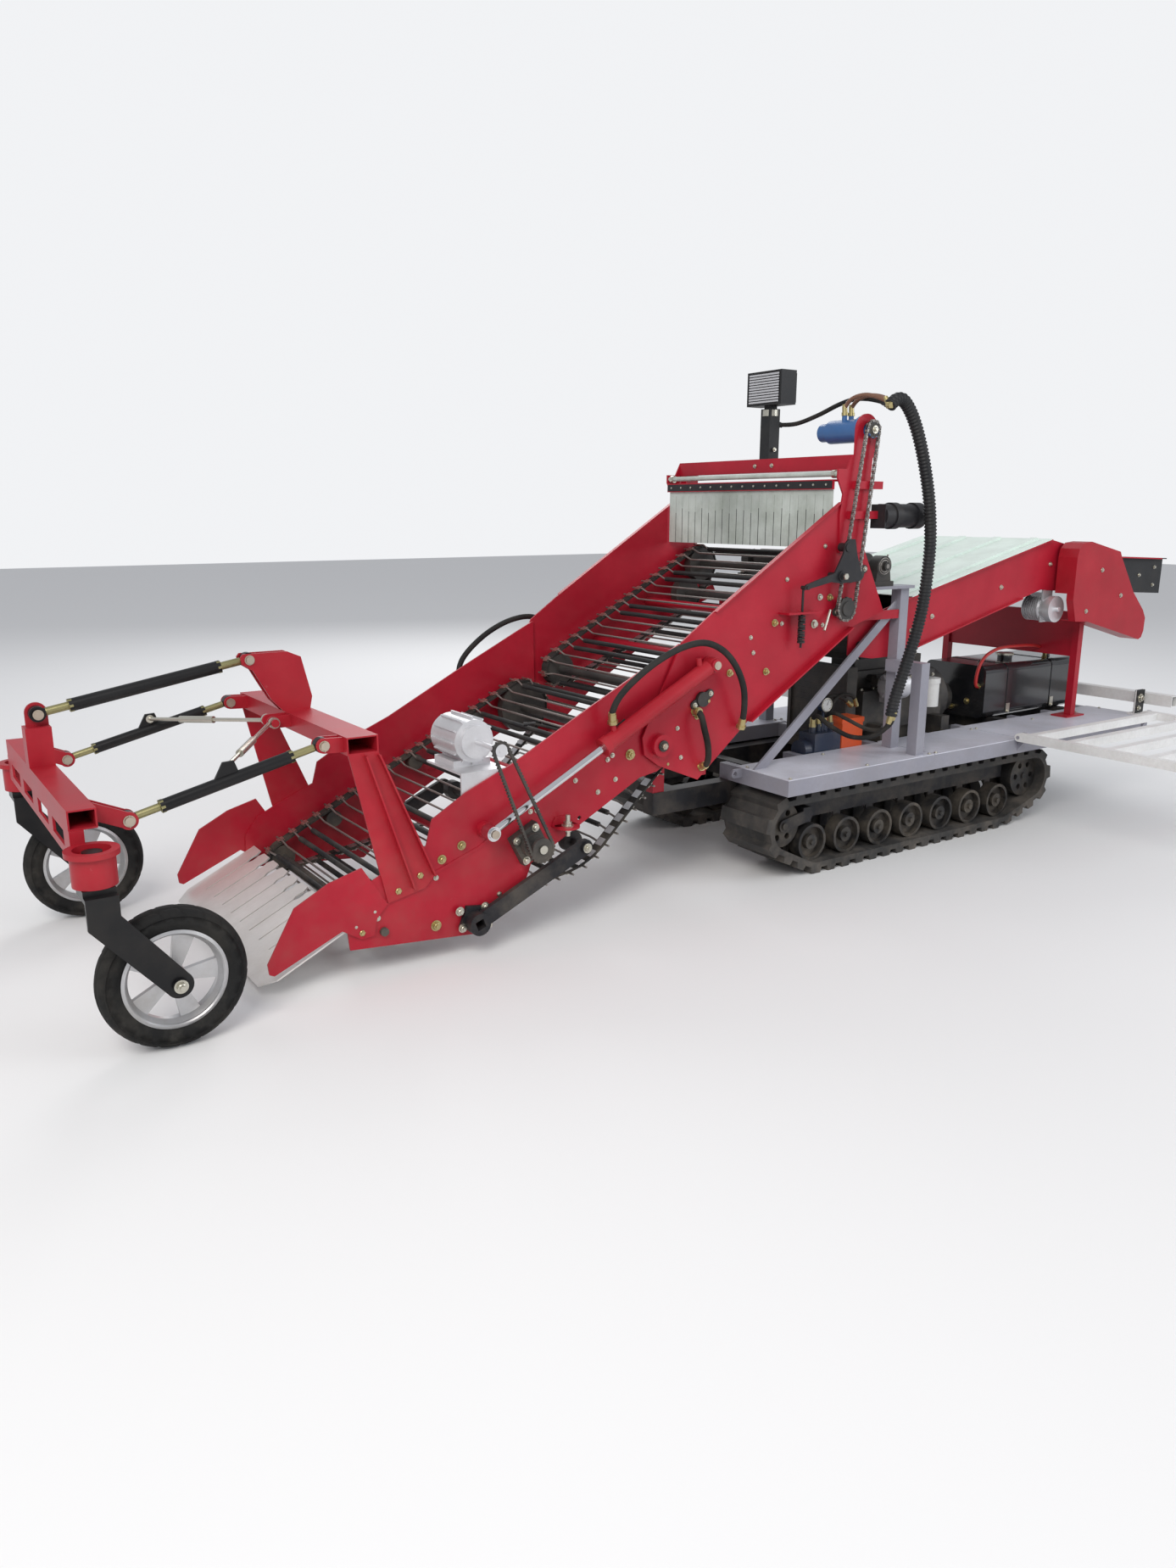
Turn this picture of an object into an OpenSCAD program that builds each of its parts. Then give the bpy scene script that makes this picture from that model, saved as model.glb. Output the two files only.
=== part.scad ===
/* [Tracks] */
// Distance from the centre line to the middle of a track
track_y = 450; // [445:1:470]
// Width of a track belt
track_w = 300; // [250:1:300]
// Thickness of a track belt
track_t = 25; // [18:1:30]
// Height of the lugs on a track
lug_h = 25; // [10:1:25]
// Distance from lug to lug
lug_pitch = 90; // [80:1:120]
// Length of a lug along the belt
lug_l = 42; // [30:1:50]
// Height of the guide teeth inside a track
tooth_h = 30; // [15:1:32]
// Radius of the track rollers
roller_r = 85; // [70:1:88]
// Radius of the front idler
idler_r = 100; // [85:1:105]
// Radius of the rear drive sprocket
sprocket_r = 105; // [90:1:110]
// Length from the idler to the sprocket
track_l = 1720; // [1690:1:1760]
// Radius of a roller axle
axle_r = 12; // [9:1:16]

/* [Chassis] */
// Height of the rails
rail_h = 100; // [80:1:120]
// Width of the rails
rail_w = 70; // [50:1:80]
// Depth of the deck frame
deck_h = 70; // [50:1:90]
// Distance from the centre line to the deck's outer edge
deck_y = 660; // [650:1:680]
// Thickness of the deck plates
deck_t = 4; // [3:0.5:8]
// Width of the posts
post_w = 55; // [40:1:60]
// Height of the tall post's top above the ground
post_top = 1228; // [1180:1:1235]

/* [Conveyor] */
// Half width between the rear side plates
conv_y = 557; // [555:1:575]
// Thickness of the side plates
plate_t = 8; // [5:1:8]
// Gap between the front and the rear side plates
nest_gap = 7; // [6:1:10]
// Distance between the rods
rod_pitch = 60; // [50:1:80]
// Thickness of a rod
rod_t = 9; // [7:0.5:12]
// How far the middle of a rod drops below its ends
rod_drop = 20; // [10:1:24]
// Thickness of the belts that carry the rods
belt_t = 8; // [6:0.5:10]
// Width of the belts that carry the rods
belt_w = 50; // [40:1:55]
// Radius of the main pivot
pivot_r = 22; // [16:1:26]
// Radius of the web shafts
shaft_r = 18; // [14:1:22]
// Radius of the conveyor cross tubes
tube_r = 20; // [14:1:25]

/* [Digging end] */
// Thickness of the shovel plate
shovel_t = 6; // [4:0.5:10]
// Number of slots in the shovel
slots = 9; // [7:1:11]
// Width of the arch tube
arch_w = 110; // [90:1:115]
// Height of the arch tube
arch_h = 60; // [50:1:70]

/* [Hitch] */
// Distance from the centre line to a lower link
link_y = 500; // [480:1:505]
// Radius of a lower or top link tube
link_r = 20; // [16:1:24]
// Radius of the link pins
pin_r = 12; // [9:1:14]
// Width of a link eye
eye_w = 30; // [24:1:34]
// Distance from the centre line to the top link
top_y = 75; // [70:1:90]

/* [Wheels] */
// Radius of the tyre
tyre_r = 220; // [210:1:222]
// Width of the tyre
tyre_w = 95; // [85:1:100]
// Radius of the rim
rim_r = 155; // [145:1:165]
// Number of spokes
spokes = 5; // [3:1:7]
// Distance from the centre line to a caster
caster_y = 670; // [660:1:690]
// Distance from the swivel axis back to the wheel's axle
trail = 185; // [170:1:195]
// Thickness of the caster arm
arm_t = 12; // [9:1:14]

/* [Lift] */
// Distance from the centre line to a lift cylinder
lift_y = 607; // [605:1:620]
// Radius of the barrel
barrel_r = 32; // [26:1:34]
// Radius of the rod
lrod_r = 15; // [12:1:18]
// Width of the cylinder eyes
lift_eye_w = 46; // [36:1:50]

/* [Unloading] */
// Distance from the centre line to the inner face of the side plates
unl_y = 396.5; // [385:0.5:396.5]
// Height of the slats on the belt
slat_h = 28; // [15:1:32]
// Distance between the slats
slat_pitch = 200; // [150:5:300]
// Number of ribs on the cover
cover_ribs = 4; // [2:1:6]

/* [Platforms] */
// Width and height of the platform tubes
plat_t = 40; // [30:1:40]
// Number of bars on a platform
plat_bars = 5; // [4:1:6]
// Distance from the centre line to a platform's outer edge
plat_y = 1565; // [1400:5:1600]

/* [Hidden] */
$fn = 32;
fit = 0.3;
axis_x = -100;
idler = [-100, 235, idler_r];
sprocket = [axis_x + track_l, 230, sprocket_r];
ground_t = track_t + lug_h;
roller_z = ground_t + roller_r;
first_x = 70;
last_x = sprocket[0] - 230;
roller_n = 7;
track_loop = [idler, [first_x, roller_z, roller_r], [last_x, roller_z, roller_r], sprocket];
beam_z0 = 232;
beam_z1 = 300;
rail_z0 = beam_z1;
rail_z1 = rail_z0 + rail_h;
rail_gap = 10;
rail_y1 = track_y - track_w / 2 - rail_gap;
rail_y0 = rail_y1 - rail_w;
deck_z0 = rail_z1;
deck_z1 = deck_z0 + deck_h;
deck_top = deck_z1 + deck_t;
deck_x0 = -190;
deck_x1 = 2550;
rear_x = 2980;

conv_o = conv_y + plate_t;
front_o = conv_y - nest_gap;
front_y = front_o - plate_t;
web_t = belt_t + rod_t;
pivot = [-808, 683];
nose = [-1988, 161];
head = [250, 1310];
drive = [160, 1168];
tail = [-600, 845];
front_loop = [[nose[0], nose[1], 53], [-1250, 530, 313], [pivot[0], pivot[1], 118]];
rear_loop = [[tail[0], tail[1], 73], [drive[0], drive[1], 76], [head[0], head[1], 83]];
belt_y1 = 510;
front_rod = front_y - 12;
rear_rod = front_rod;

lift_e = [-585, 986];
lift_r = [-1589, 464];
gland = 590;
link_slack = 1.2;
link_a = [-2155, 830];
link_b = [-2770, 675];
link_c = [-2200, 1050];
link_d = [-2905, 922];
arch_x1 = -1980;
arch_x0 = arch_x1 - arch_w;
arch_z1 = 855;
arch_z0 = arch_z1 - arch_h;
beam_x0 = -2950;
beam_x1 = -2870;
beam_top = 750;
swivel_x = -2905;
house_z0 = 545;
house_z1 = 650;
unl_o = unl_y + 6;
unl_tail = [470, 972, 42];
unl_head = [2060, 1306, 42];
unl_slope = 267 / 1130;
fold_y = deck_y + 30;
fold_z = deck_top + 16;

// Angle of the outward normal where a belt leaves circle a for circle b
function leave(a, b) = atan2(b[1] - a[1], b[0] - a[0]) - acos((a[2] - b[2]) / norm([b[0] - a[0],
    b[1] - a[1]]));
function turn(a) = a - 360 * floor(a / 360);
// One entry a circle: circle, start angle, sweep, length of the arc, length of the run after it
function loop_of(c) = let(n = len(c), out = [for (i = [0:n - 1]) leave(c[i], c[(i + 1) % n])])
  [for (i = [0:n - 1]) let(a0 = out[(i + n - 1) % n], sw = turn(out[i] - a0), q = c[(i + 1) % n])
    [c[i], a0, sw, c[i][2] * sw * PI / 180,
     sqrt(pow(q[0] - c[i][0], 2) + pow(q[1] - c[i][1], 2) - pow(q[2] - c[i][2], 2))]];
function upto(l, k) = k == 0 ? 0 : upto(l, k - 1) + l[k - 1][3] + l[k - 1][4];
function loop_len(l) = upto(l, len(l));
function seg_at(l, s, k = 0) = (k == len(l) - 1 || s < upto(l, k + 1)) ? k : seg_at(l, s, k + 1);
// Outward normal angle at length s
function ang_at(l, s) = let(k = seg_at(l, s), u = s - upto(l, k), e = l[k])
  u < e[3] ? e[1] + u / e[0][2] * 180 / PI : e[1] + e[2];
// Point at length s, at height t over the loop
function pt_at(l, s, t) = let(k = seg_at(l, s), u = s - upto(l, k), e = l[k], a = ang_at(l, s),
    v = max(0, u - e[3]))
  [e[0][0] + (e[0][2] + t) * cos(a) - v * sin(a), e[0][1] + (e[0][2] + t) * sin(a) + v * cos(a)];
// Outline of a plain belt at height t, with corners at the ends of the arcs and at the marks
function ring(l, t, marks) = [for (k = [0:len(l) - 1]) each let(s0 = upto(l, k), s1 = s0 + l[k][3])
  concat([pt_at(l, s0 + 0.001, t)], [for (m = marks) if (m > s0 + 5 && m < s1 - 5) pt_at(l, m, t)],
      [pt_at(l, s1, t)])];

module pair() {
  children();
  mirror([0, 1, 0]) children();
}

module box(x0, x1, y0, y1, z0, z1) {
  translate([x0, y0, z0]) cube([x1 - x0, y1 - y0, z1 - z0]);
}

module ycyl(p, y0, y1, r) {
  translate([p[0], y1, p[1]]) rotate([90, 0, 0]) cylinder(r = r, h = y1 - y0);
}

module yslab(y0, y1) {
  translate([0, y1, 0]) rotate([90, 0, 0]) linear_extrude(y1 - y0) children();
}

module bar(p, q, r) {
  d = q - p;
  translate(p) rotate([0, acos(d[2] / norm(d)), atan2(d[1], d[0])]) cylinder(r = r, h = norm(d));
}

// A strip of plate from p to q in the side view, w wide, with round ends
module strap(p, q, w) {
  a = atan2(q[1] - p[1], q[0] - p[0]);
  l = norm(q - p);
  translate(p) rotate(a) translate([0, -w / 2]) square([l, w]);
  translate(p) circle(r = w / 2);
  translate(q) circle(r = w / 2);
}

/* Undercarriage */
track_path = loop_of(track_loop);
lug_n = floor(loop_len(track_path) / lug_pitch);
lug_step = loop_len(track_path) / lug_n;
roller_x = [for (i = [0:roller_n - 1]) first_x + (last_x - first_x) * i / (roller_n - 1)];
hub_y = track_y - 105;
roll_fit = 0.6;
mark_step = 12;
disc_y0 = 50;
disc_y1 = 112;
wheel_y0 = tooth_w() / 2 + 6;
wheel_y1 = 92;
function tooth_w() = 48;

module track_frames() {
  color([0.06, 0.06, 0.07]) {
    pair() {
      box(first_x - 58, last_x + 110, -track_y - 45, -track_y + 45, beam_z0, beam_z1);
      box(first_x - 58, first_x - 10, -track_y - 106, -track_y + 106, beam_z0, beam_z1);
      for (s = [-1, 1]) {
        difference() {
          yslab(-track_y + s * 102 - 4, -track_y + s * 102 + 4) strap([idler[0], idler[1]],
              [first_x - 30, 262], 56);
          ycyl([idler[0], idler[1]], -track_y - 120, -track_y + 120, axle_r + 3 + fit);
        }
        for (x = roller_x) {
          difference() {
            yslab(-track_y + s * 39 - 4, -track_y + s * 39 + 4) strap([x, roller_z], [x, beam_z0 + 30], 46);
            ycyl([x, roller_z], -track_y - 60, -track_y + 60, axle_r + fit);
          }
        }
      }
    }
    for (x = [300, 1200]) {
      box(x, x + 60, -track_y + 40, track_y - 40, beam_z1 - 60, beam_z1);
    }
  }
}

module roller(x) {
  ycyl([x, roller_z], -track_y - disc_y1 - 8, -track_y + disc_y1 + 4, axle_r);
  for (s = [-1, 1]) {
    difference() {
      ycyl([x, roller_z], -track_y + min(s * disc_y0, s * disc_y1), -track_y + max(s * disc_y0,
          s * disc_y1), roller_r - roll_fit);
      ycyl([x, roller_z], -track_y + s * disc_y1 - 30, -track_y + s * disc_y1 + 30, roller_r - 14);
    }
    ycyl([x, roller_z], -track_y + s * 85 - 22, -track_y + s * 85 + 22, 34);
  }
}

module track_rollers() {
  color([0.08, 0.08, 0.09]) pair() for (x = roller_x) roller(x);
}

module track_wheel(c, r, y0, y1) {
  p = [c[0], c[1]];
  difference() {
    for (s = [-1, 1]) {
      ycyl(p, -track_y + min(s * wheel_y0, s * wheel_y1), -track_y + max(s * wheel_y0, s * wheel_y1),
          r - roll_fit);
    }
    for (i = [0:5]) {
      ycyl([p[0] + r * 0.6 * cos(i * 60), p[1] + r * 0.6 * sin(i * 60)], -track_y - 100,
          -track_y + 100, r * 0.14);
    }
  }
  ycyl(p, -track_y - wheel_y0 - 2, -track_y + wheel_y0 + 2, r - tooth_h - 18);
  ycyl(p, y0, y1, axle_r + 3);
}

module drive_sprockets() {
  color([0.08, 0.08, 0.09]) pair() {
    track_wheel(idler, idler_r, -track_y - 112, -track_y + 112);
    track_wheel(sprocket, sprocket_r, -track_y - 100, -hub_y);
  }
}

module track_belt() {
  l = track_path;
  marks = [for (i = [0:lug_n - 1]) i * lug_step + 0.01];
  half = lug_l / 2;
  outer = [for (m = marks) each [
    pt_at(l, m + lug_step / 2 - half - 7, track_t),
    pt_at(l, m + lug_step / 2 - half, track_t + lug_h),
    pt_at(l, m + lug_step / 2 + half, track_t + lug_h),
    pt_at(l, m + lug_step / 2 + half + 7, track_t)]];
  arcs = [for (k = [0:len(l) - 1]) each [for (j = [1:floor(l[k][3] / mark_step)]) upto(l,
      k) + j * mark_step]];
  inner = ring(l, 0, arcs);
  teeth = [for (m = marks) each [
    pt_at(l, m + lug_step / 2 - 16, 4),
    pt_at(l, m + lug_step / 2 - 9, -tooth_h),
    pt_at(l, m + lug_step / 2 + 9, -tooth_h),
    pt_at(l, m + lug_step / 2 + 16, 4)]];
  difference() {
    yslab(-track_y - track_w / 2, -track_y + track_w / 2) polygon(outer);
    yslab(-track_y - track_w, -track_y + track_w) polygon(inner);
  }
  difference() {
    yslab(-track_y - tooth_w() / 2, -track_y + tooth_w() / 2) polygon(ring(l, 5, arcs));
    yslab(-track_y - track_w, -track_y + track_w) polygon(teeth);
  }
}

module left_track() {
  color([0.05, 0.05, 0.05]) track_belt();
}

module right_track() {
  color([0.05, 0.05, 0.05]) mirror([0, 1, 0]) track_belt();
}

/* Chassis */
tank = [1670, 2500, -230, 170, 475, 760];
front_beam = [-620, -560, 530, 590];

module chassis_frame() {
  color([0.08, 0.08, 0.09]) {
    pair() {
      box(front_beam[0], deck_x1 - 10, -rail_y1, -rail_y0, rail_z0, rail_z1);
      box(sprocket[0] - 50, sprocket[0] + 50, -rail_y1, -rail_y0, sprocket[1], rail_z0 + 1);
      ycyl([sprocket[0], sprocket[1]], -hub_y + fit, -rail_y0 + 5, 68);
    }
    for (x = [-500, 100, 760, 1560, 2460]) {
      box(x, x + 60, -rail_y0 - 5, rail_y0 + 5, rail_z0 + 10, rail_z1 - 10);
    }
    for (x = [1740, 2340]) {
      box(x, x + 60, -rail_y1, rail_y1, rail_z1 - 5, tank[4]);
    }
  }
}

cross_x = [deck_x0, 200, 700, 1100, 1420, 1900, 2210, deck_x1 - 40];
inner_y = rail_y1 + 40;

module deck_frames() {
  color([0.45, 0.45, 0.5]) pair() {
    box(deck_x0, deck_x1, -deck_y, -deck_y + 40, deck_z0, deck_z1);
    box(deck_x0, deck_x1, -inner_y - 40, -inner_y, deck_z0, deck_z1);
    for (x = cross_x) {
      box(x, x + 40, -deck_y + 5, -rail_y0, deck_z0, deck_z1);
    }
    difference() {
      yslab(-inner_y - 40, -inner_y - 28) strap([deck_x0 - 40, deck_z1 - 20],
          [deck_x0 + 10, deck_z1 - 20], 39);
      ycyl([deck_x0 - 40, deck_z1 - 20], -inner_y - 60, -inner_y, 10);
    }
    for (x = [1375, 2495]) {
      difference() {
        translate([x, 0, 0]) rotate([90, 0, 90]) linear_extrude(8)
          polygon([[-deck_y + 2, deck_z0 + 8], [-deck_y + 2, deck_z1 - fit],
              [-deck_y - fit, deck_z1 - fit], [-deck_y - fit, fold_z],
            [-fold_y + 8, fold_z + 20], [-fold_y - 12, fold_z + 20], [-fold_y - 22, fold_z],
                [-fold_y - 12, fold_z - 16]]);
      }
      translate([x - 50, -fold_y, fold_z]) rotate([0, 90, 0]) cylinder(r = 8, h = 54);
    }
  }
}

seam_x = [741, 1395];
seam = 7;

module deck_plates() {
  color([0.6, 0.6, 0.66]) pair() {
    box(deck_x0, seam_x[0], -deck_y, -inner_y, deck_z1, deck_top);
    box(seam_x[0] + seam, seam_x[1], -deck_y, -inner_y + 20, deck_z1, deck_top);
    box(seam_x[1] + seam, deck_x1, -deck_y, -rail_y1, deck_z1, deck_top);
  }
}

post_x = 700;
post_y = 430;
post2_y = 610;
bearing = [550, post_top + 102];

module post_frame() {
  color([0.45, 0.45, 0.5]) pair() {
    box(post_x - post_w / 2, post_x + post_w / 2, -post_y - post_w / 2, -post_y + post_w / 2, deck_top,
        post_top);
    box(635, 635 + post_w, -post2_y - post_w / 2, -post2_y + post_w / 2, deck_top, 850);
    box(635, 635 + post_w, -post2_y - post_w / 2, -post_y + 5, 845, 900);
    yslab(-post_y - 6, -post_y + 6)
      polygon([[-180, deck_top], [-112, deck_top], [post_x - post_w / 2 + 5, 1120],
          [post_x - post_w / 2 + 5, 1174]]);
    box(bearing[0] - 75, post_x + post_w / 2 + 10, -post_y - 50, -post_y + 45, post_top - 1, post_top + 12);
  }
}

module transfer_roller() {
  color([0.12, 0.12, 0.13]) {
    pair() difference() {
      union() {
        box(bearing[0] - 65, bearing[0] + 65, -post_y - 28, -post_y + 28, post_top + 12, post_top + 34);
        yslab(-post_y - 24, -post_y + 24)
          polygon([[bearing[0] - 50, post_top + 30], [bearing[0] - 38, bearing[1]],
              [bearing[0] + 38, bearing[1]], [bearing[0] + 50, post_top + 30]]);
        ycyl(bearing, -post_y - 26, -post_y + 26, 46);
      }
      ycyl(bearing, -post_y - 40, -post_y + 40, shaft_r + fit);
    }
    ycyl(bearing, -post_y - 45, post_y + 45, shaft_r);
    ycyl(bearing, -350, 350, 55);
  }
}

/* Engine bay */
eng = [760, 1360, 190, 500, 700];

module engine() {
  color([0.16, 0.18, 0.2]) {
    box(eng[0], eng[1], -eng[2], eng[2], eng[3], eng[4]);
    box(eng[0] + 50, eng[1] - 60, -150, 150, eng[3] - 90, eng[3] + 2);
    box(eng[0] + 20, eng[1] - 20, -115, 115, eng[4] - 2, eng[4] + 90);
    yslab(-80, 80) translate([eng[0] + 50, eng[4] + 88]) square([500, 55]);
    for (i = [0:3]) {
      ycyl([eng[0] + 120 + i * 120, eng[4] + 50], -175, -110, 22);
    }
    box(eng[0] + 80, eng[0] + 520, -200, -168, eng[4] + 22, eng[4] + 78);
    for (x = [eng[0] + 40, eng[1] - 100]) {
      pair() box(x, x + 60, -rail_y1 + 8, -eng[2] + 5, rail_z1, eng[3] + 40);
    }
    translate([eng[0] - 50, 0, 600]) rotate([0, 90, 0]) cylinder(r = 70, h = 52);
    translate([eng[0] - 38, 0, 600]) rotate([0, 90, 0]) cylinder(r = 150, h = 14);
    difference() {
      box(eng[0] - 130, eng[0] - 60, -200, 200, rail_z1 - 9.7, 830);
      box(eng[0] - 140, eng[0] - 118, -180, 180, rail_z1 + 40, 800);
    }
    for (i = [0:11]) {
      box(eng[0] - 119, eng[0] - 117, -184, 184, rail_z1 + 60 + i * 29, rail_z1 + 68 + i * 29);
    }
    box(eng[0] - 130, eng[0] - 60, -rail_y0 - 20, rail_y0 + 20, rail_z1, rail_z1 + 30);
    translate([eng[1] - 2, 0, 600]) rotate([0, 90, 0]) cylinder(r = 165, h = 90);
    translate([eng[1] + 80, 0, 580]) rotate([0, 90, 0]) cylinder(r = 85, h = 150);
  }
}

module alternator() {
  color([0.7, 0.7, 0.72]) {
    translate([845, -268, 730]) rotate([0, 90, 0]) cylinder(r = 66, h = 105);
    for (i = [0:11]) {
      translate([845, -268, 730]) rotate([i * 30, 0, 0]) box(-8, 1, -5, 5, 24, 60);
    }
    translate([815, -268, 730]) rotate([0, 90, 0]) cylinder(r = 30, h = 32);
    box(880, 930, -215, -eng[2], 640, 690);
    box(880, 930, -250, -210, 640, 700);
  }
}

gauge_p = [380, 690];

module hydraulic_unit() {
  color([0.12, 0.2, 0.4]) {
    box(300, 470, -inner_y + 5, -rail_y0, rail_z1, 560);
    for (x = [325, 365, 405, 445]) {
      translate([x, -280, 558]) cylinder(r = 14, h = 40);
    }
    bar([gauge_p[0], -290, 555], [gauge_p[0], -290, gauge_p[1] - 20], 8);
    ycyl(gauge_p, -312, -282, 34);
    translate([250, -270, 480]) rotate([0, 90, 0]) cylinder(r = 48, h = 52);
  }
}

module filter_canister() {
  color([0.9, 0.9, 0.88]) {
    translate([1190, -252, 600]) cylinder(r = 44, h = 120);
    translate([1190, -252, 718]) cylinder(r = 48, h = 26);
    box(1165, 1215, -216, -eng[2] - 12, 696, 718);
    box(1165, 1215, -eng[2] - 14, -eng[2], 650, 718);
  }
}

module battery_box() {
  color([0.95, 0.3, 0.08]) {
    box(478, 618, -inner_y + 4, -rail_y0, rail_z1, 590);
    box(473, 624, -inner_y + 2, -rail_y0 + 8, 590, 612);
  }
}

module fuel_tank() {
  r = 40;
  w = tank[3] - tank[2];
  h = tank[5] - tank[4];
  color([0.05, 0.05, 0.06]) {
    translate([tank[0], tank[2], tank[4]]) rotate([90, 0, 90]) linear_extrude(tank[1] - tank[0]) {
      translate([r, 0]) square([w - 2 * r, h]);
      translate([0, r]) square([w, h - 2 * r]);
      for (y = [r, w - r]) for (z = [r, h - r]) translate([y, z]) circle(r = r);
    }
    for (x = [1860, 2260]) {
      translate([x, tank[2] - 3, tank[4]]) rotate([90, 0, 90]) linear_extrude(36) {
        translate([0, r]) square([w + 6, h - 2 * r]);
        translate([r, r]) square([w + 6 - 2 * r, h - r + 3]);
        for (y = [r, w + 6 - r]) translate([y, h + 3 - r]) circle(r = r);
      }
    }
    translate([2060, -60, tank[5] - 1]) cylinder(r = 40, h = 22);
    translate([2330, -150, tank[5] - 1]) cylinder(r = 12, h = 30);
    translate([1720, -150, tank[5] - 1]) cylinder(r = 12, h = 26);
  }
}

/* Elevator, rear section */
rear_path = loop_of(rear_loop);
front_path = loop_of(front_loop);
function rod_marks(l) = let(n = floor(loop_len(l) / rod_pitch),
    st = loop_len(l) / n) [for (i = [0:n - 1]) (i + 0.5) * st];

rear_edge = [[-704, 1078], [-544, 1188], [-219, 1392], [126, 1608], [165, 1612], [200, 1580],
    [329, 1340], [435, 1143], [225, 1080],
  [-348, 729], [-609, 516], [-812, 600], [-880, 650], [-890, 720], [-850, 800]];

shelf_z = 1160;
spring_x = -105;
spring_y = -606;

module rear_side_plates() {
  color([0.68, 0.1, 0.15]) pair() {
    difference() {
      yslab(-conv_o, -conv_y) polygon(rear_edge);
      for (c = [head, drive]) ycyl(c, -conv_o - 5, -conv_y + 5, shaft_r + fit);
      ycyl(tail, -conv_o - 5, -conv_y + 5, shaft_r + fit);
      ycyl(pivot, -conv_o - 5, -conv_y + 5, pivot_r + fit);
    }
    yslab(-conv_o - 30, -conv_o + 1) polygon([[-348, 729], [225, 1080], [222, 1086], [-352, 735]]);
    yslab(-conv_o - 14, -conv_o + 1) polygon([[-544, 1188], [126, 1608], [123, 1603], [-541, 1183]]);
    difference() {
      ycyl(pivot, -conv_o - 25, -conv_o + 1, pivot_r + 22);
      ycyl(pivot, -conv_o - 30, -conv_o + 5, pivot_r + fit);
    }
    ycyl(lift_e, -lift_y - lift_eye_w / 2 - 10, -conv_o + 1, 15);
    ycyl(lift_e, -lift_y - lift_eye_w / 2 - 10, -lift_y - lift_eye_w / 2 - 2, 24);
    ycyl(lift_e, -conv_o - 8, -conv_o + 1, 30);
  }
  color([0.68, 0.1, 0.15]) difference() {
    box(-199, -10, -conv_o - 62, -conv_o + 1, shelf_z, shelf_z + 8);
    translate([spring_x, spring_y, shelf_z - 5]) cylinder(r = 8, h = 20);
  }
}

module rear_frame() {
  rear_side_plates();
  rear_cross_tubes();
}

module rear_cross_tubes() {
  b = front_beam;
  color([0.68, 0.1, 0.15]) {
    box(b[0], b[1], -conv_y, conv_y, b[2], b[3]);
    pair() box(b[0], b[1], -rail_y1 + 5, -rail_y0 - 5, rail_z1, b[2] + 1);
    for (p = [[-330, 955], [-20, 1130]]) {
      ycyl(p, -conv_y, conv_y, tube_r);
    }
    box(360, 400, -conv_y, conv_y, 1125, 1165);
    box(360, post_x - post_w / 2, -post_y - 22, -post_y - 10, 1090, 1130);
    box(360, post_x - post_w / 2, post_y + 10, post_y + 22, 1090, 1130);
    pair() box(360, 400, -post_y - 22, -post_y - 10, 1090, 1128);
  }
}

module web_rod(h) {
  a = h - belt_w - 25;
  b = a - 30;
  rotate([90, 0, 90]) translate([0, 0, -rod_t / 2]) linear_extrude(rod_t)
    polygon([[-h, belt_t], [-a, belt_t], [-b, belt_t - rod_drop], [b, belt_t - rod_drop], [a, belt_t],
        [h, belt_t],
      [h, web_t], [a, web_t], [b, web_t - rod_drop], [-b, web_t - rod_drop], [-a, web_t], [-h, web_t]]);
}

// Rods on the upper run are cranked, those of the return run are drawn plain
module web_rods(l, h) {
  for (s = rod_marks(l)) {
    a = ang_at(l, s);
    p = pt_at(l, s, 0);
    translate([p[0], 0, p[1]]) rotate([0, 90 - a, 0]) {
      if (turn(a) > 20 && turn(a) < 200) web_rod(h);
      else translate([-rod_t / 2, -h, belt_t]) cube([rod_t, 2 * h, rod_t]);
    }
  }
}

module web_belts(l) {
  n = 2 * len(rod_marks(l));
  m = [for (i = [0:n - 1]) i * loop_len(l) / n];
  pair() difference() {
    yslab(-belt_y1, -belt_y1 + belt_w) polygon(ring(l, belt_t, m));
    yslab(-belt_y1 - 1, -belt_y1 + belt_w + 1) polygon(ring(l, 0, m));
  }
}

// A shaft across the web with a wheel under each belt
module web_shaft(c, r, h) {
  p = [c[0], c[1]];
  ycyl(p, -h, h, r);
  pair() ycyl(p, -belt_y1 + 3, -belt_y1 + belt_w - 3,
      c[2] * cos((rod_pitch / 4 + 3) / c[2] * 180 / PI) - fit);
}

module rear_web_rods() {
  color([0.35, 0.34, 0.33]) web_rods(rear_path, rear_rod);
}

module rear_web_belts() {
  color([0.07, 0.07, 0.07]) web_belts(rear_path);
}

// A bearing in an oval flange on the outer face of a rear side plate
module flange_bearing(c, w) {
  yslab(-conv_o - 9, -conv_o) strap(c - [w, w / 2], c + [w, w / 2], 34);
  ycyl(c, -conv_o - 16, -conv_o, 30);
}

module rear_rollers() {
  color([0.25, 0.25, 0.26]) {
    for (c = rear_loop) web_shaft(c, shaft_r, conv_o + 8);
    ycyl(drive, -chain_y - 12, -conv_o, shaft_r);
    ycyl(drive, -chain_y - 5, -chain_y + 5, chain_r1 - tooth_fit);
    ycyl(drive, -chain_y - 12, -chain_y + 12, 30);
    pair() for (c = [head, tail]) flange_bearing(c, 40);
    flange_bearing(drive, 30);
    mirror([0, 1, 0]) flange_bearing(drive, 30);
  }
}

/* Top frame */
chain_y = 600;
chain_r1 = 48;
tooth_fit = 1;
chain_r0 = 34;
motor_c = [262, 1900];
up_t = 8;

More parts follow.
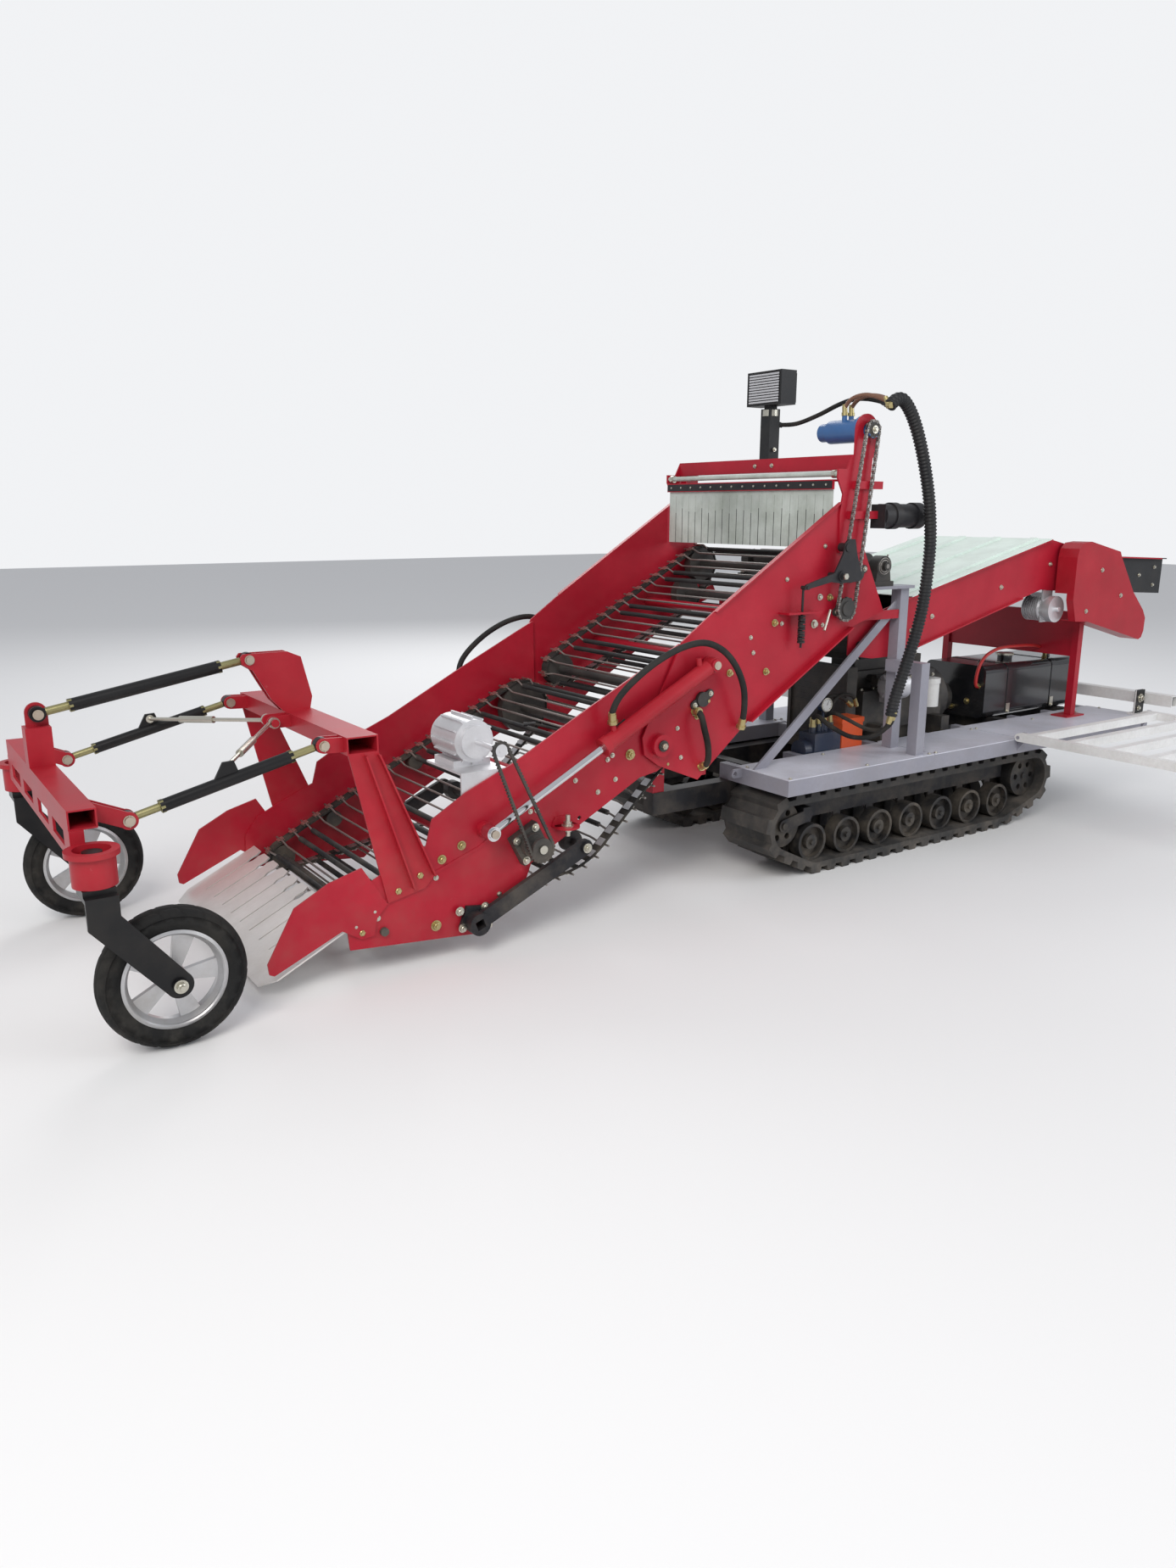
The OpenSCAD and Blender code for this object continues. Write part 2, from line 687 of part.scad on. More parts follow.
module top_frame() {
  color([0.68, 0.1, 0.15]) {
    pair() yslab(-conv_o - up_t, -conv_o) polygon([[130, 1400], [270, 1400], [300, 1800], [180, 1800],
        [150, 1742], [98, 1742], [98, 1704], [134, 1640], [120, 1560]]);
    box(175, 235, -conv_o, conv_o, 1740, 1800);
    yslab(-conv_o - up_t, -conv_o) difference() {
      union() {
        translate([190, 1790]) square([130, 110]);
        translate([255, 1900]) circle(r = 65);
      }
      translate(motor_c) circle(r = 30);
    }
    box(90, 100, -conv_y + 3, conv_y - 3, 1660, 1700);
    pair() box(90, 182, -conv_y + 3, -conv_y + 43, 1692, 1700);
    pair() box(176, 182, -conv_y + 3, -conv_y + 43, 1692, 1745);
    box(185, 355, -conv_o - up_t - 16, -conv_o - up_t + 1, 1662, 1694);
    box(165, 334, -conv_o - up_t - 16, -conv_o - up_t + 1, 1540, 1572);
  }
}

module rubber_curtain() {
  n = 22;
  w = 2 * (conv_y - 12) / n;
  color([0.6, 0.66, 0.62]) difference() {
    union() {
      box(100, 106, -conv_y + 12, conv_y - 12, 1420, 1691.7);
      ycyl([114, 1722], -conv_o, conv_o, 11);
    }
    for (i = [1:n - 1]) {
      box(98, 108, -conv_y + 11 + i * w, -conv_y + 13 + i * w, 1410, 1640);
    }
  }
}

module work_lamp() {
  color([0.1, 0.1, 0.11]) {
    difference() {
      box(160, 250, -150, 70, 2030, 2175);
      box(150, 172, -140, 60, 2040, 2165);
    }
    for (i = [0:6]) {
      box(249, 262, -140 + i * 31, -134 + i * 31, 2040, 2165);
    }
    box(175, 235, -70, -10, 1800, 2016);
    box(185, 225, -60, -20, 2015, 2031);
    for (y = [-100, -40, 20]) {
      translate([160, y, 2102]) rotate([0, 90, 0]) cylinder(r = 24, h = 16);
    }
  }
}

module web_motor() {
  color([0.1, 0.25, 0.55]) {
    ycyl(motor_c, -conv_o, -conv_o + 30, 58);
    ycyl(motor_c, -conv_o + 28, -conv_o + 200, 48);
    ycyl(motor_c, -conv_o + 198, -conv_o + 250, 38);
    ycyl(motor_c, -chain_y - 12, -conv_o + 2, 14);
    ycyl(motor_c, -chain_y - 5, -chain_y + 5, chain_r0 - tooth_fit);
    for (x = [-20, 20]) {
      translate([motor_c[0] + x, -conv_o + 110, motor_c[1] + 30]) cylinder(r = 11, h = 45);
    }
  }
}

drive_loop = loop_of([[drive[0], drive[1], chain_r1], [motor_c[0], motor_c[1], chain_r0]]);

module drive_chain() {
  n = floor(loop_len(drive_loop) / 40);
  st = loop_len(drive_loop) / n;
  marks = [for (i = [0:n - 1]) (i + 0.5) * st];
  wave = [for (m = marks) each [pt_at(drive_loop, m - st * 0.28, 13), pt_at(drive_loop, m + st * 0.28,
      13), pt_at(drive_loop, m + st * 0.5, 9)]];
  color([0.18, 0.17, 0.16]) difference() {
    yslab(-chain_y - 8, -chain_y + 8) polygon(wave);
    yslab(-chain_y - 9, -chain_y + 9) polygon(ring(drive_loop, 0, [for (i = [0:6 * n - 1]) i * st / 6]));
  }
}

tens_p = [87, 1308];
tens_roll = [119, 1425];
arm_back = -chain_y - 26;

module chain_tensioner() {
  color([0.07, 0.07, 0.08]) {
    yslab(arm_back - 8, arm_back)
      polygon([[-122, 1258], [-116, 1280], [46, 1322], [92, 1400], [98, 1440], [120, 1460], [158, 1458],
        [172, 1400], [212, 1302], [192, 1284], [87, 1278], [30, 1286]]);
    ycyl(tens_p, arm_back - 20, -conv_o, 14);
    ycyl(tens_p, arm_back - 16, arm_back, 22);
    ycyl(tens_roll, arm_back - 12, -chain_y + 12, 18);
    ycyl([spring_x, 1267], arm_back - 12, spring_y + 8, 8);
    translate([spring_x, spring_y, shelf_z - 140]) cylinder(r = 5, h = 248);
    for (i = [0:7]) {
      translate([spring_x, spring_y, shelf_z - 14 - i * 13]) cylinder(r = 15, h = 7);
    }
    translate([spring_x, spring_y, shelf_z - 120]) cylinder(r = 16, h = 8);
  }
}

filter_y = -590;

module oil_filter() {
  color([0.1, 0.1, 0.12]) {
    box(334, 342, filter_y - 40, filter_y + 40, 1500, 1600);
    translate([341, filter_y, 1552]) rotate([0, 90, 0]) cylinder(r = 50, h = 220);
    translate([400, filter_y, 1552]) rotate([0, 90, 0]) cylinder(r = 56, h = 40);
    translate([540, filter_y, 1552]) rotate([0, 90, 0]) cylinder(r = 56, h = 50);
  }
}

hose_r = 28;
hose_p = [[262, 1990], [300, 2015], [345, 2012], [400, 1960], [455, 1870], [510, 1740], [552, 1600],
    [575, 1450], [572, 1300], [555, 1160], [522, 1040],
  [480, 930], [440, 830], [410, 750], [397, 690]];

module corrugated_hose() {
  n = len(hose_p);
  k = 12;
  y = -chain_y - 80;
  dir = [for (i = [0:n - 1]) let(d = hose_p[min(i + 1, n - 1)] - hose_p[max(i - 1, 0)]) d / norm(d)];
  pts = [for (i = [0:n - 1]) for (j = [0:k - 1]) let(a = j * 360 / k)
    [hose_p[i][0] - dir[i][1] * hose_r * cos(a), y + hose_r * sin(a),
        hose_p[i][1] + dir[i][0] * hose_r * cos(a)]];
  sides = [for (i = [0:n - 2]) for (j = [0:k - 1]) let(m = (j + 1) % k)
    [i * k + j, i * k + m, (i + 1) * k + m, (i + 1) * k + j]];
  color([0.13, 0.14, 0.16])
    polyhedron(pts, concat([[for (j = [0:k - 1]) k - 1 - j]], sides,
        [[for (j = [0:k - 1]) (n - 1) * k + j]]));
}

/* Unloading conveyor */
// Height of the side plates' folded upper edge at x
function unl_top(x) = 1163.8 + (x - 738) * unl_slope;

unl_edge = [[738, 1157], [1868, 1424], [1900, 1424], [2310, 1345], [2310, 1135], [1826, 1173],
    [885, 942], [738, 905]];
unl_path = loop_of([unl_tail, unl_head]);

module unload_plates() {
  color([0.68, 0.1, 0.15]) {
    pair() {
      difference() {
        yslab(-unl_o, -unl_y) {
          polygon(unl_edge);
          polygon([[400, 930], [400, 1075], [740, 1157], [740, 905], [560, 905]]);
        }
        for (c = [unl_tail, unl_head]) {
          ycyl([c[0], c[1]], -unl_o - 5, -unl_y + 5, shaft_r + fit);
        }
      }
      yslab(-unl_o - 18, -unl_o + 1) polygon([[740, 1157.5], [1868, 1424], [1866, 1430], [739, 1163.5]]);
      yslab(-unl_o - 18, -unl_o + 1) polygon([[738, 905], [885, 942], [1660, 1132], [1658, 1138],
          [884, 948], [738, 911]]);
    }
    for (p = [[1050, 1075], [1500, 1180]]) {
      ycyl(p, -unl_y, unl_y, 12);
    }
  }
}

module unload_belt() {
  l = unl_path;
  n = floor(loop_len(l) / slat_pitch);
  st = loop_len(l) / n;
  arcs = [for (k = [0:1]) each [for (j = [1:floor(l[k][3] / 20)]) upto(l, k) + j * 20]];
  color([0.09, 0.09, 0.1]) {
    difference() {
      yslab(-unl_y + 12, unl_y - 12) polygon(ring(l, 6, arcs));
      yslab(-unl_y, unl_y) polygon(ring(l, 0, arcs));
    }
    for (i = [0:n - 1]) {
      p = pt_at(l, (i + 0.5) * st, 5);
      translate([p[0], 0, p[1]]) rotate([0, 90 - ang_at(l, (i + 0.5) * st), 0]) box(-4, 4, -unl_y + 30,
          unl_y - 30, 0, slat_h);
    }
    for (c = [unl_tail, unl_head]) {
      ycyl([c[0], c[1]], -unl_o - 10, unl_o + 10, shaft_r);
      ycyl([c[0], c[1]], -unl_y + 20, unl_y - 20, c[2] * cos(12));
    }
  }
}

module cover_sheet() {
  color([0.8, 0.9, 0.84]) {
    yslab(-unl_o - 18, unl_o + 18) polygon([[800, unl_top(800)], [1860, unl_top(1860)],
        [1859, unl_top(1859) + 4], [799, unl_top(799) + 4]]);
    for (i = [0:cover_ribs - 1]) {
      y = -unl_y + 60 + i * (2 * unl_y - 120) / (cover_ribs - 1);
      yslab(y - 20, y + 20) polygon([[830, unl_top(830) + 3], [1830, unl_top(1830) + 3],
          [1827, unl_top(1827) + 17], [827, unl_top(827) + 17]]);
    }
  }
}

guard_edge = [[1965, 1010], [1926, 1120], [1926, 1340], [1938, 1384], [1972, 1412], [2042, 1418],
    [2316, 1362], [2332, 1334],
  [2482, 1144], [2600, 1040], [2630, 996], [2628, 924], [2612, 889], [2586, 879], [2342, 939],
      [2067, 1006]];
guard_y = 530;
leg_x = 2150;
umotor = [1900, 1072];

module end_guard() {
  color([0.68, 0.1, 0.15]) difference() {
    yslab(-guard_y, -unl_o - 18) polygon(guard_edge);
    yslab(-guard_y + 4, -unl_o - 10) offset(delta = -4) polygon(guard_edge);
    box(1900, umotor[0] + 82, -490, -unl_o, 980, umotor[1] + 82);
    box(leg_x - 3, leg_x + 43, -unl_o - 45, -unl_o, 900, 1100);
  }
}

module unload_motor() {
  color([0.72, 0.72, 0.74]) {
    ycyl(umotor, -unl_o - 50, -unl_y + 110, 56);
    for (i = [0:7]) {
      ycyl(umotor, -unl_y + 14 + i * 12, -unl_y + 20 + i * 12, 66);
    }
    ycyl(umotor, -unl_o - 52, -unl_o - 14, 68);
    ycyl(umotor, -unl_o - 70, -unl_o - 50, 12);
    box(umotor[0] - 42, umotor[0] + 42, -unl_y, -unl_y + 8, umotor[1] - 70, 1215);
    box(umotor[0] - 26, umotor[0] + 26, -unl_y + 20, -unl_y + 80, umotor[1] + 40, umotor[1] + 80);
  }
}

module unload_chute() {
  color([0.1, 0.09, 0.12]) {
    pair() {
      yslab(-unl_y, -unl_y + 6) polygon([[2230, 1340], [rear_x, 1310], [rear_x, 1110], [2230, 1150]]);
      yslab(-unl_y - 24, -unl_y + 2) polygon([[2320, 1336.4], [rear_x, 1310], [rear_x, 1304],
          [2320, 1330.4]]);
    }
    yslab(-unl_y + 1, unl_y - 1) polygon([[2230, 1150], [rear_x, 1110], [rear_x, 1116], [2230, 1156]]);
  }
}

module unload_supports() {
  color([0.5, 0.06, 0.1]) {
    pair() {
      box(leg_x, leg_x + 40, -unl_o - 40, -unl_o, deck_top, 1240);
      box(leg_x - 60, leg_x + 100, -unl_o - 60, -unl_o + 40, deck_top, deck_top + 8);
    }
    box(leg_x, leg_x + 40, -unl_o - 1, unl_o + 1, 1000, 1040);
    box(leg_x + 16, leg_x + 22, -unl_o - 1, unl_o + 1, 800, 1001);
  }
}

module rear_rail() {
  color([0.85, 0.85, 0.84]) {
    difference() {
      box(2570, 2630, -770, 770, 530, 590);
      box(2574, 2626, -780, 780, 534, 586);
    }
    pair() difference() {
      box(2490, 2572, -614, -606, deck_top, 610);
      ycyl([2530, 565], -620, -600, 12);
    }
    pair() box(2490, 2545, -650, -570, deck_top, deck_top + 8);
  }
}

/* Elevator, front section */
front_edge = [[-2120, 200], [-2112, 118], [-1600, 70], [-1430, 200], [-1390, 300], [-890, 560],
    [-808, 573], [-725, 612], [-700, 690], [-704, 1070],
  [-1115, 867], [-1452, 693], [-1655, 607], [-1790, 530], [-1815, 440], [-1970, 375], [-2060, 330],
      [-2116, 260]];

module front_side_plates() {
  color([0.7, 0.1, 0.15]) pair() {
    difference() {
      yslab(-front_o, -front_y) polygon(front_edge);
      ycyl(nose, -front_o - 5, -front_y + 5, shaft_r - 3 + fit);
      ycyl(pivot, -front_o - 5, -front_y + 5, pivot_r + fit);
      ycyl([-1174, 440], -front_o - 5, -front_y + 5, 9);
    }
    ycyl(lift_r, -lift_y + lift_eye_w / 2 + 3, -front_o + 1, 30);
  }
}

module front_frame() {
  front_side_plates();
  front_cross_tubes();
}

module front_cross_tubes() {
  color([0.7, 0.1, 0.15]) for (p = [[-1568, 368], [-1218, 547]]) {
    ycyl(p, -front_y, front_y, tube_r);
  }
}

module ears(p, y, xb, w, zt) {
  for (s = [-1, 1]) {
    yslab(y + s * (eye_w / 2 + 6) - 5, y + s * (eye_w / 2 + 6) + 5) hitch_ear(p, xb, w, zt);
  }
  ycyl(p, y - eye_w / 2 - 18, y + eye_w / 2 + 18, pin_r);
}

module hitch_ear(p, xb, w, zt) {
  d = xb > p[0] ? 1 : -1;
  translate(p) circle(r = w / 2);
  polygon([[p[0], p[1] + w / 2], [p[0], p[1] - w / 2], [xb + d * 2, zt - w], [xb + d * 2, zt]]);
}

module front_arch() {
  color([0.7, 0.1, 0.15]) {
    difference() {
      box(arch_x0, arch_x1, -front_o - plate_t, front_o + plate_t, arch_z0, arch_z1);
      box(arch_x0 + 5, arch_x1 - 5, -front_o - 20, -front_o + 200, arch_z0 + 5, arch_z1 - 5);
      box(arch_x0 + 5, arch_x1 - 5, front_o - 200, front_o + 20, arch_z0 + 5, arch_z1 - 5);
    }
    pair() {
      yslab(-front_o - plate_t, -front_o) polygon([[-1970, 262], [arch_x0 + 3, arch_z0 + 1],
          [arch_x1, arch_z0 + 1], [-1790, 330], [-1830, 290]]);
      yslab(-front_o - plate_t - 22, -front_o - 1) polygon([[-1799, 333], [-1987, 788],
          [-1981.5, 790], [-1793.5, 335]]);
      yslab(-front_o - plate_t - 22, -front_o - 1) polygon([[-1880, 300], [-2035, 790], [-2029, 792],
          [-1874, 302]]);
      ears(link_a, -link_y, arch_x0, 2 * pin_r + 26, arch_z1 - 3);
    }
    for (y = [top_y - eye_w / 2 - 12, top_y + eye_w / 2 + 2]) {
      yslab(y, y + 10) polygon([[-2232, 1060], [-2222, 1072], [-2060, 1072], [-2010, 1050],
          [-1975, 900], [-1985, arch_z1 - 1], [arch_x0 + 2, arch_z1 - 1], [arch_x0 - 40, 900],
        [-2190, 1010], [-2228, 1035]]);
    }
    ycyl(link_c, top_y - eye_w / 2 - 18, top_y + eye_w / 2 + 18, pin_r);
    for (s = [-1, 1]) {
      yslab(s * 26 - 4, s * 26 + 4) hitch_ear(link_a, arch_x0, 44, arch_z1 - 3);
      ycyl(link_a, min(s * 20, s * 56), max(s * 20, s * 56), 10);
      ycyl(link_a, min(s * 50, s * 57), max(s * 50, s * 57), 14);
    }
  }
}

shovel_a = [-2420, 45];
shovel_b = [-2085, 208];

module shovel() {
  v = shovel_b - shovel_a;
  l = norm(v);
  h = front_y - fit;
  w = 2 * h / (slots + 1);
  color([0.8, 0.8, 0.78]) translate([shovel_a[0], 0, shovel_a[1]]) rotate([0, -atan2(v[1], v[0]), 0])
    translate([0, 0, -shovel_t]) linear_extrude(shovel_t) difference() {
      translate([0, -h]) square([l, 2 * h]);
      for (i = [1:slots]) {
        y = -h + i * w;
        translate([110, y - 4]) square([l - 110 - 60, 8]);
        polygon([[l - 72, y - 5], [l - 55, y - 16], [l - 38, y - 16], [l - 24, y - 10],
            [l + 1, y - 24], [l + 1, y + 24], [l - 24, y + 10], [l - 38, y + 16], [l - 55, y + 16],
            [l - 72, y + 5]]);
      }
      polygon([[-1, -h - 1], [60, -h - 1], [-1, -h + 50]]);
      polygon([[-1, h + 1], [60, h + 1], [-1, h - 50]]);
    }
}

module share_plates() {
  color([0.7, 0.1, 0.15]) pair() yslab(-front_o - plate_t, -front_o)
    polygon([[-1972, 260], [-2060, 405], [-2180, 372], [-2300, 310], [-2400, 135], [-2396, 100],
        [-2380, 92], [-2140, 196], [-2072, 152], [-2026, 156], [-2014, 214]]);
}

shaker = [-1575, 770];
shaker_s = [-1411, 386];
shaker_y = 662;

module shaker_motor() {
  color([0.78, 0.79, 0.8]) {
    ycyl(shaker, -470, -280, 78);
    for (i = [0:11]) {
      translate([shaker[0], -380, shaker[1]]) rotate([0, 30 * i, 0]) box(-3, 3, -80, 80, 70, 88);
    }
    ycyl(shaker, -490, -465, 60);
    ycyl(shaker, -282, -262, 64);
    ycyl(shaker, -shaker_y - 8, -485, 9);
    ycyl(shaker, -shaker_y - 6, -shaker_y + 6, 24 - tooth_fit);
    box(-1650, -1500, -450, -300, 676, 700);
  }
  color([0.7, 0.1, 0.15]) {
    box(-1668, -1482, -front_y, -270, 668, 676);
    yslab(-front_y, -front_y + 8) polygon([[-1668, 676], [-1482, 676], [-1482, 560], [-1668, 480]]);
  }
}

module shaker_drive() {
  l = loop_of([[shaker_s[0], shaker_s[1], 42], [shaker[0], shaker[1], 24]]);
  arcs = [for (k = [0:1]) each [for (j = [1:floor(l[k][3] / 8)]) upto(l, k) + j * 8]];
  color([0.12, 0.12, 0.12]) {
    difference() {
      yslab(-shaker_y - 6, -shaker_y + 6) polygon(ring(l, 8, arcs));
      yslab(-shaker_y - 7, -shaker_y + 7) polygon(ring(l, 0, arcs));
    }
    ycyl(shaker_s, -shaker_y - 8, -front_o, 12);
    ycyl(shaker_s, -shaker_y - 5, -shaker_y + 5, 42);
    yslab(-front_o - 34, -front_o) translate(shaker_s) rotate(27) square(120, center = true);
    ycyl(shaker_s, -front_o - 60, -front_o - 30, 45);
  }
}

arm_a = [-1640, 128];
arm_b = [-1174, 334];

module shaker_arms() {
  color([0.06, 0.06, 0.07]) pair() {
    difference() {
      union() {
        yslab(-front_o - 14, -front_o) polygon([[arm_a[0] - 60, arm_a[1] - 14],
            [arm_a[0] - 30, arm_a[1] + 62], [arm_a[0] + 62, arm_a[1] + 48],
            [arm_a[0] + 40, arm_a[1] - 40]]);
        ycyl(arm_a, -front_o - 60, -front_o - 12, 42);
      }
      yslab(-front_o - 70, -front_o + 5) translate(arm_a) rotate(20) square(34, center = true);
    }
    difference() {
      yslab(-front_o - 44, -front_o - 24) strap(arm_a, arm_b, 62);
      ycyl(arm_a, -front_o - 70, -front_o + 5, 30);
    }
    ycyl(arm_b, -front_o - 54, -front_o - 20, 22);
  }
  color([0.06, 0.06, 0.07]) {
    ycyl(arm_b, -front_o - 40, front_o + 40, 16);
    pair() ycyl(arm_b, -belt_y1 + 3, -belt_y1 + belt_w - 3, 42);
  }
}

module front_web_rods() {
  color([0.35, 0.34, 0.33]) web_rods(front_path, front_rod);
}

module front_web_belts() {
  color([0.07, 0.07, 0.07]) web_belts(front_path);
}

module front_rollers() {
  color([0.25, 0.25, 0.26]) {
    web_shaft(front_loop[0], shaft_r - 3, front_o + 12);
    web_shaft([pivot[0], pivot[1], 118], pivot_r, conv_o + 32);
    pair() for (x = [-1780, -1390, -1080]) {
      p = [x + 0.455 * 52, 200 + 0.511 * (x + 2050) - 0.89 * 52];
      ycyl(p, -front_y, -belt_y1 + 4, 10);
      ycyl(p, -belt_y1 + 2, -belt_y1 + belt_w - 2, 34.3);
    }
  }
}

/* Hitch and wheels */
module eye(p, y, w, r, b) {
  difference() {
    ycyl(p, y - w / 2, y + w / 2, r);
    ycyl(p, y - w, y + w, b);
  }
}

module link_body(a, b, y, r, slack = fit) {
  d = (b - a) / norm(b - a);
  p = a + d * 22;
  q = b - d * 22;
  difference() {
    bar([p[0], y, p[1]], [q[0], y, q[1]], r * 0.6);
    ycyl(a, y - 60, y + 60, pin_r + fit);
    ycyl(b, y - 60, y + 60, pin_r + slack);
  }
  m = a + d * 100;
  n = b - d * 100;
  bar([m[0], y, m[1]], [n[0], y, n[1]], r);
  eye(a, y, eye_w, pin_r + 14, pin_r + fit);
  eye(b, y, eye_w, pin_r + 14, pin_r + slack);
}

stab_p = link_a + (link_b - link_a) * 0.5;

module lower_links() {
  color([0.1, 0.1, 0.12]) pair() {
    link_body(link_a, link_b, -link_y, link_r);
    yslab(-link_y - 5, -link_y + 5) polygon([[stab_p[0] - 45, stab_p[1] + 5],
        [stab_p[0] + 35, stab_p[1] + 20], [stab_p[0] + 20, stab_p[1] + 62],
        [stab_p[0] - 15, stab_p[1] + 60]]);
  }
}

module stabilisers() {
  a = [link_a[0], -40, link_a[1]];
  b = [stab_p[0], -link_y + 12, stab_p[1] + 42];
  s = [link_a[0] - 17, -40, link_a[1]];
  color([0.75, 0.75, 0.72]) pair() {
    eye(link_a, -40, 16, 20, 10 + fit);
    bar(s, b, 7);
    bar(s + (b - s) * 0.42, s + (b - s) * 0.72, 13);
    ycyl([b[0], b[2]], -link_y + 5, -link_y + 14, 15);
  }
}

module top_link() {
  color([0.1, 0.1, 0.12]) link_body(link_c, link_d, top_y, link_r + 2, link_slack);
}

module wheel_beam() {
  color([0.72, 0.12, 0.17]) {
    difference() {
      box(beam_x0, beam_x1, -603, 603, beam_top - 60, beam_top);
      box(beam_x0 + 5, beam_x1 - 5, -610, -400, beam_top - 55, beam_top - 5);
      box(beam_x0 + 5, beam_x1 - 5, 400, 610, beam_top - 55, beam_top - 5);
    }
    difference() {
      box(beam_x0, beam_x0 + 8, -610, 610, 600, beam_top - 58);
      for (y = [-420, -150, 150, 420]) {
        box(beam_x0 - 5, beam_x0 + 20, y - 95, y + 95, 626, beam_top - 76);
      }
    }
    box(beam_x0, beam_x0 + 40, -610, -590, 600, beam_top - 58);
    box(beam_x0, beam_x0 + 40, 590, 610, 600, beam_top - 58);
    box(beam_x0, beam_x1, top_y - 30, top_y + 45, beam_top - 1, 880);
    yslab(top_y + eye_w / 2 + 2, top_y + eye_w / 2 + 14) strap(link_d, [link_d[0], 880], 70);
    ycyl(link_d, top_y - eye_w / 2 - 12, top_y + eye_w / 2 + 14, pin_r);
    pair() {
      ears(link_b, -link_y, beam_x1, 2 * pin_r + 30, beam_top - 2);
      difference() {
        union() {
          translate([swivel_x, -caster_y, house_z0]) cylinder(r = 62, h = house_z1 - house_z0);
          translate([swivel_x, -caster_y, house_z1 - 16]) cylinder(r = 75, h = 16);
        }
        translate([swivel_x, -caster_y, house_z0 - 5]) cylinder(r = 18 + fit, h = 200);
        translate([swivel_x, -caster_y, house_z1 - 22]) cylinder(r = 52, h = 200);
      }
    }
  }
}

axle_p = [swivel_x + trail, tyre_r];
arm_y = tyre_w / 2 + 22;

module caster(y) {
  color([0.07, 0.07, 0.08]) {
    translate([swivel_x, y, house_z0 - 32]) cylinder(r = 18, h = house_z1 - house_z0 + 24);
    translate([swivel_x, y, house_z1 - 21]) cylinder(r = 28, h = 14);
    box(swivel_x - 45, swivel_x + 45, y - arm_y - arm_t, y + 50, house_z0 - 33, house_z0 - 18);
    box(swivel_x - 45, swivel_x + 45, y - 55, y + 50, house_z0 - 19, house_z0 - 1);
    yslab(y - arm_y - arm_t, y - arm_y) {
      polygon([[swivel_x - 45, house_z0 - 20], [swivel_x + 45, house_z0 - 20],
          [swivel_x + 45, house_z0 - 80], [axle_p[0] + 36, tyre_r + 20],
          [axle_p[0] - 36, tyre_r - 20], [swivel_x - 45, house_z0 - 110]]);
      translate(axle_p) circle(r = 41);
    }
    ycyl(axle_p, y - arm_y - arm_t - 14, y + 50, 10);
    ycyl(axle_p, y - arm_y - arm_t - 12, y - arm_y - arm_t + 1, 22);
    ycyl(axle_p, y + 43, y + 52, 17);
    ycyl(axle_p, y - arm_y - 1, y - 44, 16);
  }
}

module left_caster() {
  caster(-caster_y);
}

module right_caster() {
  caster(caster_y);
}

module tyre(y) {
  h = tyre_w / 2;
  color([0.06, 0.06, 0.06]) translate([axle_p[0], y, axle_p[1]]) rotate([90, 0, 0]) rotate_extrude($fn = 64)
    polygon([[rim_r, -h + 14], [rim_r + 14, -h + 4], [rim_r + 36, -h], [tyre_r - 14, -h + 10],
        [tyre_r - 3, -h + 26], [tyre_r, 0],
      [tyre_r - 3, h - 26], [tyre_r - 14, h - 10], [rim_r + 36, h], [rim_r + 14, h - 4], [rim_r, h - 14]]);
}

module rim(y) {
  h = tyre_w / 2;
  color([0.75, 0.75, 0.76]) translate([axle_p[0], y, axle_p[1]]) rotate([90, 0, 0]) {
    rotate_extrude($fn = 64) polygon([[rim_r - fit, -h + 12], [rim_r - 10, -h + 8],
        [rim_r - 14, -h + 12], [rim_r - 12, -h + 22], [rim_r - 24, -10],
      [rim_r - 24, 10], [rim_r - 12, h - 22], [rim_r - 14, h - 12], [rim_r - 10, h - 8],
          [rim_r - fit, h - 12]]);
    difference() {
      union() {
        translate([0, 0, -42]) cylinder(r = 38, h = 84);
        for (i = [0:spokes - 1]) {
          rotate(i * 360 / spokes) translate([0, 0, -9]) linear_extrude(18)
            polygon([[20, -14], [rim_r - 22, -32], [rim_r - 22, 32], [20, 14]]);
        }
      }
      translate([0, 0, -60]) cylinder(r = 10 + fit, h = 120);
    }
  }
}

module left_tyre() {
  tyre(-caster_y);
}

module left_rim() {
  rim(-caster_y);
}

module right_tyre() {
  tyre(caster_y);
}

module right_rim() {
  rim(caster_y);
}

/* Lift */
lift_d = (lift_r - lift_e) / norm(lift_r - lift_e);
lift_l = norm(lift_r - lift_e);

module along(k0, k1, r) {
  p = lift_e + lift_d * k0;
  q = lift_e + lift_d * k1;
  bar([p[0], -lift_y, p[1]], [q[0], -lift_y, q[1]], r);
}

module lift_barrels() {
  color([0.68, 0.1, 0.15]) pair() {
    difference() {
      union() {
        along(24, gland, barrel_r);
        along(gland - 30, gland, barrel_r + 4);
        ycyl(lift_e, -lift_y - lift_eye_w / 2, -lift_y + lift_eye_w / 2, 30);
      }
      along(60, gland + 20, lrod_r + 1);
      ycyl(lift_e, -lift_y - 60, -lift_y + 60, 15 + fit);
    }
    for (k = [70, gland - 60]) {
      p = lift_e + lift_d * k;
      bar([p[0], -lift_y, p[1] + barrel_r - 4], [p[0] - 8, -lift_y, p[1] + barrel_r + 32], 11);
    }
  }
}

module lift_rods() {
  color([0.8, 0.8, 0.82]) pair() {
    along(110, lift_l - 20, lrod_r);
    ycyl(lift_r, -lift_y - lift_eye_w / 2, -lift_y + lift_eye_w / 2, 27);
    ycyl(lift_r, -lift_y - lift_eye_w / 2 - 10, -lift_y + lift_eye_w / 2 + 3 - fit, 13);
    ycyl(lift_r, -lift_y - lift_eye_w / 2 - 8, -lift_y - lift_eye_w / 2 + 1, 21);
  }
}

